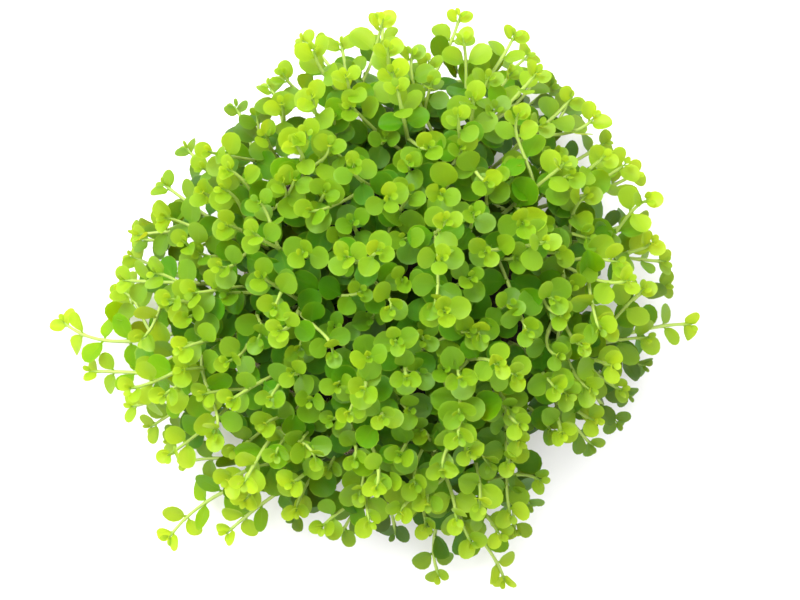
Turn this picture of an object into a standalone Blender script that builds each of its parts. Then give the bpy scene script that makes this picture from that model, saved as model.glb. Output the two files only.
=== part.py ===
# Monte carlo carpet plant: a loose clump of creeping leafy shoots on a root pad cut off flat underneath

import math
from dataclasses import dataclass

import bmesh
import bpy
import numpy as np
from mathutils.bvhtree import BVHTree

MM = 0.001
CLUMP_NAME = "monte_carlo_clump"
SEED = 7

# Root pad. The origin is the middle of its flat underside, +Z is up
PAD_RADIUS = 27 * MM
PAD_HEIGHT = 15 * MM
PAD_SEGMENTS = 16
PAD_RINGS = 10
PAD_SHOULDER = 4.0  # the larger, the flatter the top and the steeper the side
PAD_LOBES = ((3, 0.05, 0.8), (5, 0.03, 2.1))  # waves round the pad, share of the radius, phase

# Crown shoots fill a dome over the pad, inside an outline of bearings in degrees and reaches in mm
CROWN_COUNT = 26
CROWN_SHARE = 0.88  # of the outline's reach that the crown fills
CROWN_DRIFT = 2.5 * MM
CROWN_FEET = (0.45, 0.80)  # of the pad's radius, for a shoot that reaches past the pad
CROWN_PITCHES = (88, 26)  # degrees above the level, in the middle of the crown and at the outline
CROWN_FALL = 1.3  # the larger, the further out the shoots stay upright
DOME_TOP = 43 * MM
DOME_RIM = 12 * MM
DOME_OUTLINE = (
    (0, 43), (30, 44), (50, 43), (80, 46), (110, 45), (125, 40), (150, 42), (170, 45), (200, 47),
    (212, 45), (230, 42), (248, 39), (270, 39), (290, 43), (302, 40), (312, 33), (330, 40),
)  # fmt: skip

# Rim shoots make the clump's own outline: the bearing of the stem's tip in degrees, its reach and
# height in mm, its pitch above the level and its swing aside from straight outwards in degrees
RIM_TIPS = (
    (356, 48, 8, 5, 0), (8, 42, 16, 5, 0), (19, 41.5, 9, 0, 0), (28, 41, 19, 5, 0),
    (39, 41.5, 10, 0, 0), (48, 41.5, 18, 5, 0), (58, 43, 9, 0, 0), (67, 44.5, 17, 10, 0),
    (79, 46, 11, 5, 8), (93, 46, 7, 5, 0), (102, 42, 16, 0, 0), (110, 44.5, 9, 5, 30),
    (121, 39, 18, 0, 0), (132, 40.5, 9, 5, 0), (145, 42, 6, 5, 0), (155, 41, 16, 0, 0),
    (167, 43, 10, 0, 0), (176, 44, 19, 5, 0), (184, 54.5, 5, 0, -36), (192, 50, 8, -5, 0),
    (201, 46.5, 14, -15, 0), (211, 43.5, 7, -10, 0), (225, 53.5, 5, 0, 6), (234, 45.5, 11, 0, 0),
    (245, 40, 7, -5, 0), (257, 37.5, 16, -5, 0), (268, 38.5, 8, 0, 0), (278, 44.5, 6, 0, 20),
    (291, 48, 6, 0, -12), (303, 39.5, 13, 0, 25), (323, 37.5, 14, -5, 0), (336, 40.5, 7, 0, 0),
)  # fmt: skip
RIM_DRIFT = 1.0 * MM
RIM_FEET = (0.72, 0.86)  # of the pad's radius

# Stems: from the middle of a three-sided section to its corners, and how the path leaves the pad
# and reaches its tip
STEM_TIP_RADIUS = 0.32 * MM
STEM_FOOT_RADIUS = 0.50 * MM
WALL_SHARE = 0.5  # how far the walls of a three-sided section stand from its middle, for 1 at its corners
FOOT_GAP = 0.5 * MM
FOOT_FOLLOW = 0.3  # how much of the tip's swing the foot follows
FOOT_SWING = 0.3  # radians
FOOT_LEAN = 0.75  # outwards, for 1 up
TIP_LEAN = 0.22  # strays each way, for 1 along the shoot's pitch
FOOT_HOLD = 0.42  # how long a stem keeps its way at its foot and at its tip, as shares of its span
TIP_HOLD = 0.36
PATH_STEPS = 40

# Leaf pairs, counted from the tip: stretch of stem above the pair, leaf length, length over width, and
# rise towards the tip in degrees
PAIR_GAPS = (1.3 * MM, 3.0 * MM, 4.2 * MM, 4.8 * MM, 5.0 * MM)
LEAF_LENGTHS = (2.9 * MM, 3.8 * MM, 4.5 * MM, 5.0 * MM, 5.0 * MM)
LEAF_SLIMNESS = (1.2, 1.15, 1.15, 1.2, 1.2)
LEAF_RISES = (40, 26, 15, 8, 5)
RIM_PAIRS = 4
CROWN_PAIRS = 5
GAP_RANGE = (0.8, 1.2)  # of one stretch beside its usual length
FOOT_ROOM = 2 * MM  # of bare stem under the lowest pair
NODE_LENGTH = 0.45 * MM
LEAF_HALF_THICK = 0.17 * MM
SIZE_RANGE = (0.88, 1.12)  # of whole shoots
LEAF_RANGE = (0.92, 1.08)  # of one leaf beside its shoot's own
RISE_STRAY = 7  # degrees
TURN_STRAY = 0.15  # radians round the stem
ROLL_STRAYS = (0.3, 0.45)  # radians from crosswise: of a level shoot, and what an upright one adds
FACE_UP = 1.5  # how much a blade turns its face to the light
FACE_STRAY = 0.3
LEVEL_OUT = 0.6  # how far a leaf's side of the stem is turned back to the level
SECTION_PLACES = (0.45, 0.93)  # along the leaf: its widest section, and its blunt tip
SECTION_WIDTHS = (1.0, 0.56)

# Room between shoots, and between them and the surface the clump stands on
CLEARANCE = 0.3 * MM
FLOOR_CLEARANCE = 0.5 * MM
ATTEMPTS = 300
DRIFT_GAIN = 2.5  # by the last attempt, as a share of the first one's drift
SIZE_LOSS = 0.3  # by the last attempt, as a share of the first one's size

LEAF_GREEN = (0.30, 0.55, 0.07)
LEAF_SHADES = (0.85, 1.0, 1.15)
LEAF_ROUGHNESS = 0.5
PAD_BROWN = (0.035, 0.022, 0.012)
PAD_ROUGHNESS = 0.95

LEAF_CORNERS = ((1, 1), (-1, 1), (-1, -1), (1, -1))  # of a leaf's section, in order round it
STEM_CORNERS = (math.radians(45), math.radians(165), math.radians(285))  # round from a leaf's side
UP = np.array((0.0, 0.0, 1.0))
GOLDEN_TURN = math.pi * (3 - math.sqrt(5))
WELD = 0.001 * MM


@dataclass
class Shoot:
    """One leafy stem, by where its tip is, which way the tip points and how far the tip may drift."""

    name: str
    bearing: float
    reach: float
    height: float
    pitch: float
    swing: float
    drift: float
    feet: tuple
    pairs: int


@dataclass
class Leaf:
    """A blade's foot on the stem, its length and half width, and its three directions."""

    foot: np.ndarray
    length: float
    half_width: float
    along: np.ndarray
    across: np.ndarray
    face: np.ndarray


def unit(vector):
    return vector / np.linalg.norm(vector)


def level(bearing):
    return np.array((math.cos(bearing), math.sin(bearing), 0.0))


def outline_reach(bearing):
    bearings, reaches = np.array(DOME_OUTLINE, dtype=float).T
    return np.interp(math.degrees(bearing), bearings, reaches, period=360) * MM


def pad_radius(bearing):
    return PAD_RADIUS * (1 + sum(size * math.sin(n * bearing + turn) for n, size, turn in PAD_LOBES))


def pad_top(radius, bearing):
    """Height of the pad's surface, flat in the middle and steep at the side."""
    return PAD_HEIGHT * math.sqrt(max(0.0, 1 - (radius / pad_radius(bearing)) ** PAD_SHOULDER))


def rim_shoots():
    shoots = []
    for i, (bearing, reach, height, pitch, swing) in enumerate(RIM_TIPS):
        place = math.radians(bearing), reach * MM, height * MM
        aim = math.radians(pitch), math.radians(swing)
        shoots.append(Shoot(f"rim_shoot_{i + 1:02d}", *place, *aim, RIM_DRIFT, RIM_FEET, RIM_PAIRS))
    return shoots


def crown_shoots():
    """Tips on a sunflower pattern over the dome, more upright the nearer they are to the middle."""
    shoots = []
    for i in range(CROWN_COUNT):
        share = CROWN_SHARE * math.sqrt((i + 0.5) / CROWN_COUNT)
        bearing = (i * GOLDEN_TURN) % math.tau
        reach = share * outline_reach(bearing)
        height = DOME_RIM + (DOME_TOP - DOME_RIM) * math.sqrt(1 - share**2)
        pitch = math.radians(CROWN_PITCHES[0] + (CROWN_PITCHES[1] - CROWN_PITCHES[0]) * share**CROWN_FALL)
        place = bearing, reach, height, pitch, 0.0
        shoots.append(Shoot(f"crown_shoot_{i + 1:02d}", *place, CROWN_DRIFT, CROWN_FEET, CROWN_PAIRS))
    return shoots


def stem_path(shoot, rng, drift):
    """Points along a stem from its tip down to its foot on the pad, on one cubic curve."""
    tip = shoot.reach * level(shoot.bearing) + shoot.height * UP + rng.uniform(-drift, drift, 3)
    outward = min(1.0, shoot.reach / PAD_RADIUS)
    foot_bearing = shoot.bearing + FOOT_FOLLOW * shoot.swing + rng.uniform(-FOOT_SWING, FOOT_SWING)
    foot_radius = pad_radius(foot_bearing) * outward * rng.uniform(*shoot.feet)
    foot = foot_radius * level(foot_bearing) + (pad_top(foot_radius, foot_bearing) + FOOT_GAP) * UP
    aim = level(shoot.bearing + shoot.swing) * math.cos(shoot.pitch) + UP * math.sin(shoot.pitch)
    aim = unit(aim + rng.uniform(-TIP_LEAN, TIP_LEAN, 3))
    rise = unit(UP + FOOT_LEAN * outward * level(foot_bearing))
    span = np.linalg.norm(tip - foot)
    hold = np.array((tip, tip - aim * span * TIP_HOLD, foot + rise * span * FOOT_HOLD, foot))
    t = np.linspace(0, 1, PATH_STEPS + 1)
    weights = np.array(((1 - t) ** 3, 3 * t * (1 - t) ** 2, 3 * t**2 * (1 - t), t**3))
    return weights.T @ hold


class Stem:
    """A path measured by the distance from its tip, with a frame that doesn't twist."""

    def __init__(self, points, roll):
        self.points = points
        self.places = np.append(0, np.cumsum(np.linalg.norm(np.diff(points, axis=0), axis=1)))
        self.length = self.places[-1]
        self.flat = unit(np.cross(UP, points[0] - points[-1]))
        self.roll = roll

    def point(self, place):
        return np.array([np.interp(place, self.places, axis) for axis in self.points.T])

    def ahead(self, place):
        """Direction of growth."""
        step = self.length / PATH_STEPS
        return unit(self.point(max(0.0, place - step)) - self.point(min(self.length, place + step)))

    def sides(self, place, turn=0.0):
        """Two directions square to the stem, turned about it by its roll."""
        ahead = self.ahead(place)
        first = unit(self.flat - ahead * (self.flat @ ahead))
        second = np.cross(ahead, first)
        cos, sin = math.cos(self.roll + turn), math.sin(self.roll + turn)
        return first * cos + second * sin, second * cos - first * sin

    def radius(self, place):
        return STEM_TIP_RADIUS + (STEM_FOOT_RADIUS - STEM_TIP_RADIUS) * place / self.length


def leaf_at(stem, place, side, number, size, rng):
    """A leaf on one side of the stem, which rises towards the tip and turns its face up."""
    rise = math.radians(LEAF_RISES[number] + rng.uniform(-RISE_STRAY, RISE_STRAY))
    length = LEAF_LENGTHS[number] * size * rng.uniform(*LEAF_RANGE)
    foot = stem.point(place) + side * stem.radius(place) * WALL_SHARE
    ahead = stem.ahead(place)
    side = unit(side - UP * (side @ UP) * LEVEL_OUT)
    along = unit(side * math.cos(rise) + ahead * math.sin(rise))
    face = ahead * math.cos(rise) - side * math.sin(rise)
    face = face + FACE_UP * UP + rng.uniform(-FACE_STRAY, FACE_STRAY, 3)
    face = unit(face - along * (face @ along))
    return Leaf(foot, length, length / LEAF_SLIMNESS[number] / 2, along, np.cross(face, along), face)


def grow(shoot, index, attempt):
    """The stem, the places of the leaf pairs and the pairs.

    Each attempt bends and turns it anew, drifts a little further and is a little smaller.
    """
    rng = np.random.default_rng((SEED, index, attempt))
    path = stem_path(shoot, rng, shoot.drift * (1 + DRIFT_GAIN * attempt / ATTEMPTS))
    stray = ROLL_STRAYS[0] + ROLL_STRAYS[1] * max(0.0, math.sin(shoot.pitch))
    stem = Stem(path, math.pi / 4 + rng.uniform(-stray, stray))
    size = rng.uniform(*SIZE_RANGE) * (1 - SIZE_LOSS * attempt / ATTEMPTS)
    places = np.cumsum(PAIR_GAPS * rng.uniform(*GAP_RANGE, len(PAIR_GAPS)))[: shoot.pairs] * size
    pairs = []
    for number, place in enumerate(places):
        side = stem.sides(place, rng.uniform(-TURN_STRAY, TURN_STRAY))[number % 2]
        pairs.append([leaf_at(stem, place, sign * side, number, size, rng) for sign in (1, -1)])
    return stem, places, pairs


def ring_corners(stem, place, margin):
    radius = stem.radius(place) + margin / WALL_SHARE
    return [stem.point(place) + radius * stem.sides(place, turn)[0] for turn in STEM_CORNERS]


def extrude_face(bm, face, corners):
    """Pulls a face out to new corners, given in the face's own order."""
    face = bmesh.ops.extrude_discrete_faces(bm, faces=[face])["faces"][0]
    for vert, corner in zip(face.verts, corners):
        vert.co = corner
    return face


def middle(face):
    return np.array(face.calc_center_median())


def matched_corners(face, leaf):
    """The order of a section's corners that turns least from the face's own."""
    offsets = [np.array(vert.co) - middle(face) for vert in face.verts]
    orders = [LEAF_CORNERS[turn:] + LEAF_CORNERS[:turn] for turn in range(4)]
    orders += [order[::-1] for order in orders]

    def likeness(order):
        return sum(offset @ (i * leaf.across + j * leaf.face) for offset, (i, j) in zip(offsets, order))

    return max(orders, key=likeness)


def extrude_leaf(bm, face, leaf, margin):
    """Pulls a wall of the stem out into a blade: its widest section, then its blunt edge."""
    signs = matched_corners(face, leaf)
    for share, width, thick in zip(SECTION_PLACES, SECTION_WIDTHS, (LEAF_HALF_THICK, 0)):
        centre = leaf.foot + leaf.along * (leaf.length * share + margin)
        across = leaf.across * (leaf.half_width * width + margin)
        through = leaf.face * (thick + margin)
        face = extrude_face(bm, face, [centre + i * across + j * through for i, j in signs])


def shoot_mesh(grown, margin=0.0):
    """A closed mesh of the three-sided stem and its leaves, all pulled out of one face at the foot.

    A margin makes all of it that much fatter, to test for room.
    """
    stem, places, pairs = grown
    rings, nodes = [stem.length, (stem.length + places[-1]) / 2], {}
    for place, pair in zip(reversed(places), reversed(pairs)):
        nodes[len(rings) + 1] = pair
        rings += [place + NODE_LENGTH / 2, place - NODE_LENGTH / 2]
    bm = bmesh.new()
    bmesh.ops.create_circle(bm, cap_ends=True, segments=len(STEM_CORNERS), radius=STEM_FOOT_RADIUS)
    for vert, corner in zip(bm.verts, ring_corners(stem, rings[0], margin)):
        vert.co = corner
    cap = bm.faces[:][0]
    for number, place in enumerate(rings[1:], start=1):
        cap = extrude_face(bm, cap, ring_corners(stem, place, margin))
        walls = [face for edge in cap.edges for face in edge.link_faces if face is not cap]
        for leaf in nodes.get(number, ()):
            wall = min(walls, key=lambda face: np.linalg.norm(middle(face) - leaf.foot))
            walls.remove(wall)
            extrude_leaf(bm, wall, leaf, margin)
    bmesh.ops.holes_fill(bm, edges=bm.edges, sides=4)
    bmesh.ops.remove_doubles(bm, verts=bm.verts, dist=WELD)
    bmesh.ops.recalc_face_normals(bm, faces=bm.faces)
    return bm


def crosses_itself(bm, tree):
    faces = [set(face.verts) for face in bm.faces]
    return any(faces[a].isdisjoint(faces[b]) for a, b in tree.overlap(tree) if a < b)


def place_shoot(shoot, index, taken):
    """The first attempt that is clear of itself, of the floor and of everything already there."""
    for attempt in range(ATTEMPTS):
        grown = grow(shoot, index, attempt)
        stem, places, _ = grown
        if stem.length < places[-1] + FOOT_ROOM:
            continue
        fat = shoot_mesh(grown, CLEARANCE)
        room = BVHTree.FromBMesh(fat)
        low = min(vert.co.z for vert in fat.verts)
        fat.free()
        if low < FLOOR_CLEARANCE or any(room.overlap(other) for other in taken):
            continue
        bm = shoot_mesh(grown)
        tree = BVHTree.FromBMesh(bm)
        if not crosses_itself(bm, tree):
            return bm, tree
        bm.free()
    raise RuntimeError(f"{shoot.name} finds no room")


def pad_mesh():
    """A sphere cut off at its widest level, with each ring moved onto the pad's shouldered side."""
    bm = bmesh.new()
    bmesh.ops.create_uvsphere(bm, u_segments=PAD_SEGMENTS, v_segments=PAD_RINGS, radius=1)
    everything = bm.verts[:] + bm.edges[:] + bm.faces[:]
    bmesh.ops.bisect_plane(bm, geom=everything, dist=WELD, plane_no=(0, 0, 1), clear_inner=True)
    for vert in bm.verts:
        bearing = math.atan2(vert.co.y, vert.co.x)
        radius = math.hypot(vert.co.x, vert.co.y) * pad_radius(bearing)
        height = pad_top(radius, bearing) if vert.co.z > WELD else 0.0
        vert.co = radius * level(bearing) + height * UP
    bmesh.ops.holes_fill(bm, edges=bm.edges, sides=PAD_SEGMENTS)
    bmesh.ops.recalc_face_normals(bm, faces=bm.faces)
    return bm


def plain_material(name, colour, roughness):
    material = bpy.data.materials.new(name)
    material.use_nodes = True
    shader = material.node_tree.nodes["Principled BSDF"]
    shader.inputs["Base Color"].default_value = (*colour, 1)
    shader.inputs["Roughness"].default_value = roughness
    shader.inputs["Metallic"].default_value = 0
    return material


def leaf_material(name, index):
    shade = LEAF_SHADES[index % len(LEAF_SHADES)]
    return plain_material(f"{name}_green", [shade * part for part in LEAF_GREEN], LEAF_ROUGHNESS)


def add_part(collection, name, bm, material):
    mesh = bpy.data.meshes.new(name)
    bm.to_mesh(mesh)
    bm.free()
    mesh.materials.append(material)
    collection.objects.link(bpy.data.objects.new(name, mesh))


def main():
    for old in list(bpy.data.objects):
        bpy.data.objects.remove(old)
    clump = bpy.data.collections.new(CLUMP_NAME)
    bpy.context.scene.collection.children.link(clump)
    pad = pad_mesh()
    taken = [BVHTree.FromBMesh(pad)]
    add_part(clump, "root_pad", pad, plain_material("root_pad_brown", PAD_BROWN, PAD_ROUGHNESS))
    for index, shoot in enumerate(rim_shoots() + crown_shoots()):
        bm, tree = place_shoot(shoot, index, taken)
        taken.append(tree)
        add_part(clump, shoot.name, bm, leaf_material(shoot.name, index))


main()
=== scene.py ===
"""Monte carlo carpet plant, dressed: leafy shoots with their twigs, the root pad with its roots, and the studio."""

from __future__ import annotations

import logging
import math
from dataclasses import dataclass, field
from enum import Enum, IntEnum
from typing import Any, Sequence

import bpy
import numpy as np
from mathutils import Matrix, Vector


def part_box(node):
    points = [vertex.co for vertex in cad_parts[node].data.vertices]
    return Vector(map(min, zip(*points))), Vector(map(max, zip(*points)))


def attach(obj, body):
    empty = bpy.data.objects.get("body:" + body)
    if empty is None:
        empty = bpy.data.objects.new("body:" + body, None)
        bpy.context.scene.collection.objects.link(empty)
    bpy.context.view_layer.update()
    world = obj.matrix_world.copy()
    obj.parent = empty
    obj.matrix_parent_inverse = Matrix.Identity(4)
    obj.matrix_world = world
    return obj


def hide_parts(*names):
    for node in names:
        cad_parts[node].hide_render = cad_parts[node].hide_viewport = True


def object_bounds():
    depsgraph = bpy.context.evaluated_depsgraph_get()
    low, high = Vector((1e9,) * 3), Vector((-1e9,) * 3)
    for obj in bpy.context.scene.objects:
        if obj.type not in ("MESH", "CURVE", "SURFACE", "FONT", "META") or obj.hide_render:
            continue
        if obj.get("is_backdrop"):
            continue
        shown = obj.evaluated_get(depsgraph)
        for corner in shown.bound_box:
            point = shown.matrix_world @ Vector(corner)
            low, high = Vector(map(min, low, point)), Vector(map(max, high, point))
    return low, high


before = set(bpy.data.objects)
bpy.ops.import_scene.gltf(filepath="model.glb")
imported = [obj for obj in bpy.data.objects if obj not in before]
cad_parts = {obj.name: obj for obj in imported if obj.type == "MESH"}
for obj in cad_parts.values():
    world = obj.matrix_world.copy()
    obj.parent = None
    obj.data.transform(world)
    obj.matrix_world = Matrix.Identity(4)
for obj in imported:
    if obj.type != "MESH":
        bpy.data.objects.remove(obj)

LOG = logging.getLogger("clump")
MM = 0.001
UP = np.array((0.0, 0.0, 1.0))
GOLDEN_TURN = math.pi * (3 - math.sqrt(5))
BODY = "root"
Array = np.ndarray
Generator = np.random.Generator
Material = bpy.types.Material
Pair = tuple[float, float]
Triple = tuple[float, float, float]
Colour = Triple


def unit(vector: Array) -> Array:
    """Vectors, with their coordinates in the last axis, each scaled to length 1."""
    return vector / np.linalg.norm(vector, axis=-1, keepdims=True)


def level(bearing: float) -> Array:
    """The level direction at a bearing in radians, counted from +X towards +Y."""
    return np.array((math.cos(bearing), math.sin(bearing), 0.0))


def cubic(hold: Sequence[Array], steps: int) -> Array:
    """Points of a cubic Bezier curve: the four holds weighted by (1-t)^3, 3t(1-t)^2, 3t^2(1-t) and t^3.

    Args:
        hold: The curve's start, its two handles and its end.
        steps: How many equal steps of t.

    Returns:
        An array of steps + 1 points.
    """
    t = np.linspace(0, 1, steps + 1)
    weights = np.array(((1 - t) ** 3, 3 * t * (1 - t) ** 2, 3 * t**2 * (1 - t), t**3))
    return weights.T @ np.array(hold)


def ripples(points: Array, size: float, seed: int, waves: int = 18, spread: Pair = (0.6, 1.6)) -> Array:
    """Smooth noise between about -1 and 1: the sum of sine waves in random directions, their lengths near a size.

    Args:
        points: Coordinates in the last axis.
        size: The typical wavelength.
        seed: Makes the directions and phases.
        waves: How many waves are added.
        spread: The shortest and the longest wavelength, as shares of the typical one.

    Returns:
        One number for each point.
    """
    rng = np.random.default_rng(seed)
    ways = unit(rng.normal(size=(waves, 3))) * math.tau / (size * rng.uniform(*spread, (waves, 1)))
    return np.sin(points @ ways.T + rng.uniform(0, math.tau, waves)).sum(axis=-1) / math.sqrt(waves)


class Tissue(Enum):
    """The finishes that a leafy piece is made of, by the order of its material slots."""

    STEM = 0
    YOUNG_LEAF = 1
    LEAF = 2
    OLD_LEAF = 3


class Mat(Enum):
    """The finishes that the root mat is made of, by the order of its material slots."""

    SOIL = 0
    ROOT = 1


class Draw(IntEnum):
    """The streams of random numbers, one for each step, by what is added to the habit's seed."""

    TRUNK_TONES = 0
    OLDER_PAIRS = 1
    TWIG_TIPS = 2
    TWIGS = 3
    BUDS = 4
    BLADES = 5
    MOUND_FILL = 6
    LOBE_FILL = 7


@dataclass
class Surface:
    """A mesh in arrays: points, four- and three-sided faces, and what each point tells its material."""

    points: Array
    quads: Array
    tris: Array
    uv: Array
    # the tone carries painted shade and the light is painted light; both darken leaf colours deeper in the mound
    growth: Array  # age, tone, underside and light, each from 0 to 1
    slot: int = 0
    margin: Array | None = None  # which points lie on a crisp edge


def make_piece(name: str, parts: Sequence[Surface], materials: Sequence[Material]) -> bpy.types.Object:
    """Joins surfaces into one mesh object at the origin, smooth but for its crisp edges.

    Args:
        name: The piece's name.
        parts: The surfaces it is made of.
        materials: Its slots.

    Returns:
        The object, linked to the scene.
    """
    starts = np.cumsum([0] + [len(part.points) for part in parts])
    points, uv, growth = (
        np.concatenate([getattr(part, field_name) for part in parts]) for field_name in ("points", "uv", "growth")
    )
    quads = np.concatenate([part.quads + start for part, start in zip(parts, starts)])
    tris = np.concatenate([part.tris + start for part, start in zip(parts, starts)])
    slots = [np.full(len(part.quads), part.slot) for part in parts]
    slots += [np.full(len(part.tris), part.slot) for part in parts]
    corners = np.concatenate((quads.ravel(), tris.ravel())).astype(np.int32)
    sides = np.repeat((4, 3), (len(quads), len(tris)))
    mesh = bpy.data.meshes.new(name)
    mesh.vertices.add(len(points))
    mesh.vertices.foreach_set("co", points.astype(np.float32).ravel())
    mesh.loops.add(len(corners))
    mesh.loops.foreach_set("vertex_index", corners)
    mesh.polygons.add(len(sides))
    mesh.polygons.foreach_set("loop_start", (np.cumsum(sides) - sides).astype(np.int32))
    mesh.polygons.foreach_set("material_index", np.concatenate(slots).astype(np.int32))
    mesh.update(calc_edges=True)
    mesh.shade_smooth()
    margin = [np.zeros(len(part.points), bool) if part.margin is None else part.margin for part in parts]
    ends = np.empty(2 * len(mesh.edges), np.int32)
    mesh.edges.foreach_get("vertices", ends)
    crisp = np.concatenate(margin)[ends].reshape(-1, 2).all(axis=1)
    mesh.attributes.new("sharp_edge", "BOOLEAN", "EDGE").data.foreach_set("value", crisp)
    mesh.uv_layers.new(name="blade").data.foreach_set("uv", uv[corners].astype(np.float32).ravel())
    mesh.attributes.new("growth", "FLOAT_COLOR", "POINT").data.foreach_set("color", growth.astype(np.float32).ravel())
    for material in materials:
        mesh.materials.append(material)
    piece = bpy.data.objects.new(name, mesh)
    bpy.context.scene.collection.objects.link(piece)
    return piece


def ring_faces(rows: int, ring: int) -> Array:
    """The quads between neighbouring rings of a closed profile, numbered ring by ring.

    Args:
        rows: How many rings.
        ring: How many points each has.

    Returns:
        Four point numbers for each quad.
    """
    row, column = np.meshgrid(np.arange(rows - 1), np.arange(ring), indexing="ij")
    one = (row * ring + column).ravel()
    two = (row * ring + (column + 1) % ring).ravel()
    return np.stack((one, two, two + ring, one + ring), axis=1)


def fan(ring: Array, pole: int) -> Array:
    """The triangles from each side of a ring to one point."""
    return np.stack((ring, np.roll(ring, -1), np.full(len(ring), pole)), axis=1)


class Stem:
    """A path measured by the distance from its tip, with a frame that doesn't twist."""

    def __init__(self, points: Array, roll: float, radii: Pair) -> None:
        """Keeps the path and measures it.

        Args:
            points: From the tip to the foot.
            roll: How far its sides are turned about it, in radians.
            radii: How far a section's corners are from its middle, at the tip and at the foot.
        """
        self.points = points
        self.places = np.append(0, np.cumsum(np.linalg.norm(np.diff(points, axis=0), axis=1)))
        self.length = float(self.places[-1])
        self.flat = unit(np.cross(UP, points[0] - points[-1]))
        self.roll = roll
        self.radii = radii

    def point(self, place: float) -> Array:
        """The point at a distance from the tip."""
        return np.array([np.interp(place, self.places, axis) for axis in self.points.T])

    def ahead(self, place: float) -> Array:
        """Direction of growth at a distance from the tip."""
        step = self.length / (len(self.points) - 1)
        return unit(self.point(max(0.0, place - step)) - self.point(min(self.length, place + step)))

    def sides(self, place: float, turn: float = 0.0) -> tuple[Array, Array]:
        """Two directions square to the stem, turned about it by its roll and a further turn.

        Args:
            place: Distance from the tip.
            turn: The further turn in radians.

        Returns:
            Both, a quarter turn apart.
        """
        ahead = self.ahead(place)
        first = unit(self.flat - ahead * (self.flat @ ahead))
        second = np.cross(ahead, first)
        cos, sin = math.cos(self.roll + turn), math.sin(self.roll + turn)
        return first * cos + second * sin, second * cos - first * sin

    def radius(self, place: Any) -> Any:
        """How far a section's corners are from its middle, at a distance from the tip."""
        return self.radii[0] + (self.radii[1] - self.radii[0]) * place / self.length


@dataclass
class Leaf:
    """A blade's foot on the stem, its sizes, its three directions, and how old it is from 0 to 1."""

    foot: Array
    length: float
    half_width: float
    along: Array
    across: Array
    face: Array
    age: float

    def centre(self) -> Array:
        """The middle of the blade."""
        return self.foot + self.along * self.length / 2


@dataclass
class Branch:
    """A stem with its leaves, and how yellow or blue its green is beside others, from 0 to 1, partly a painted shade
    that deepens it towards the crown's middle.
    """

    stem: Stem
    leaves: list[Leaf]
    nodes: list[float]
    tone: float = 0.5


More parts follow.
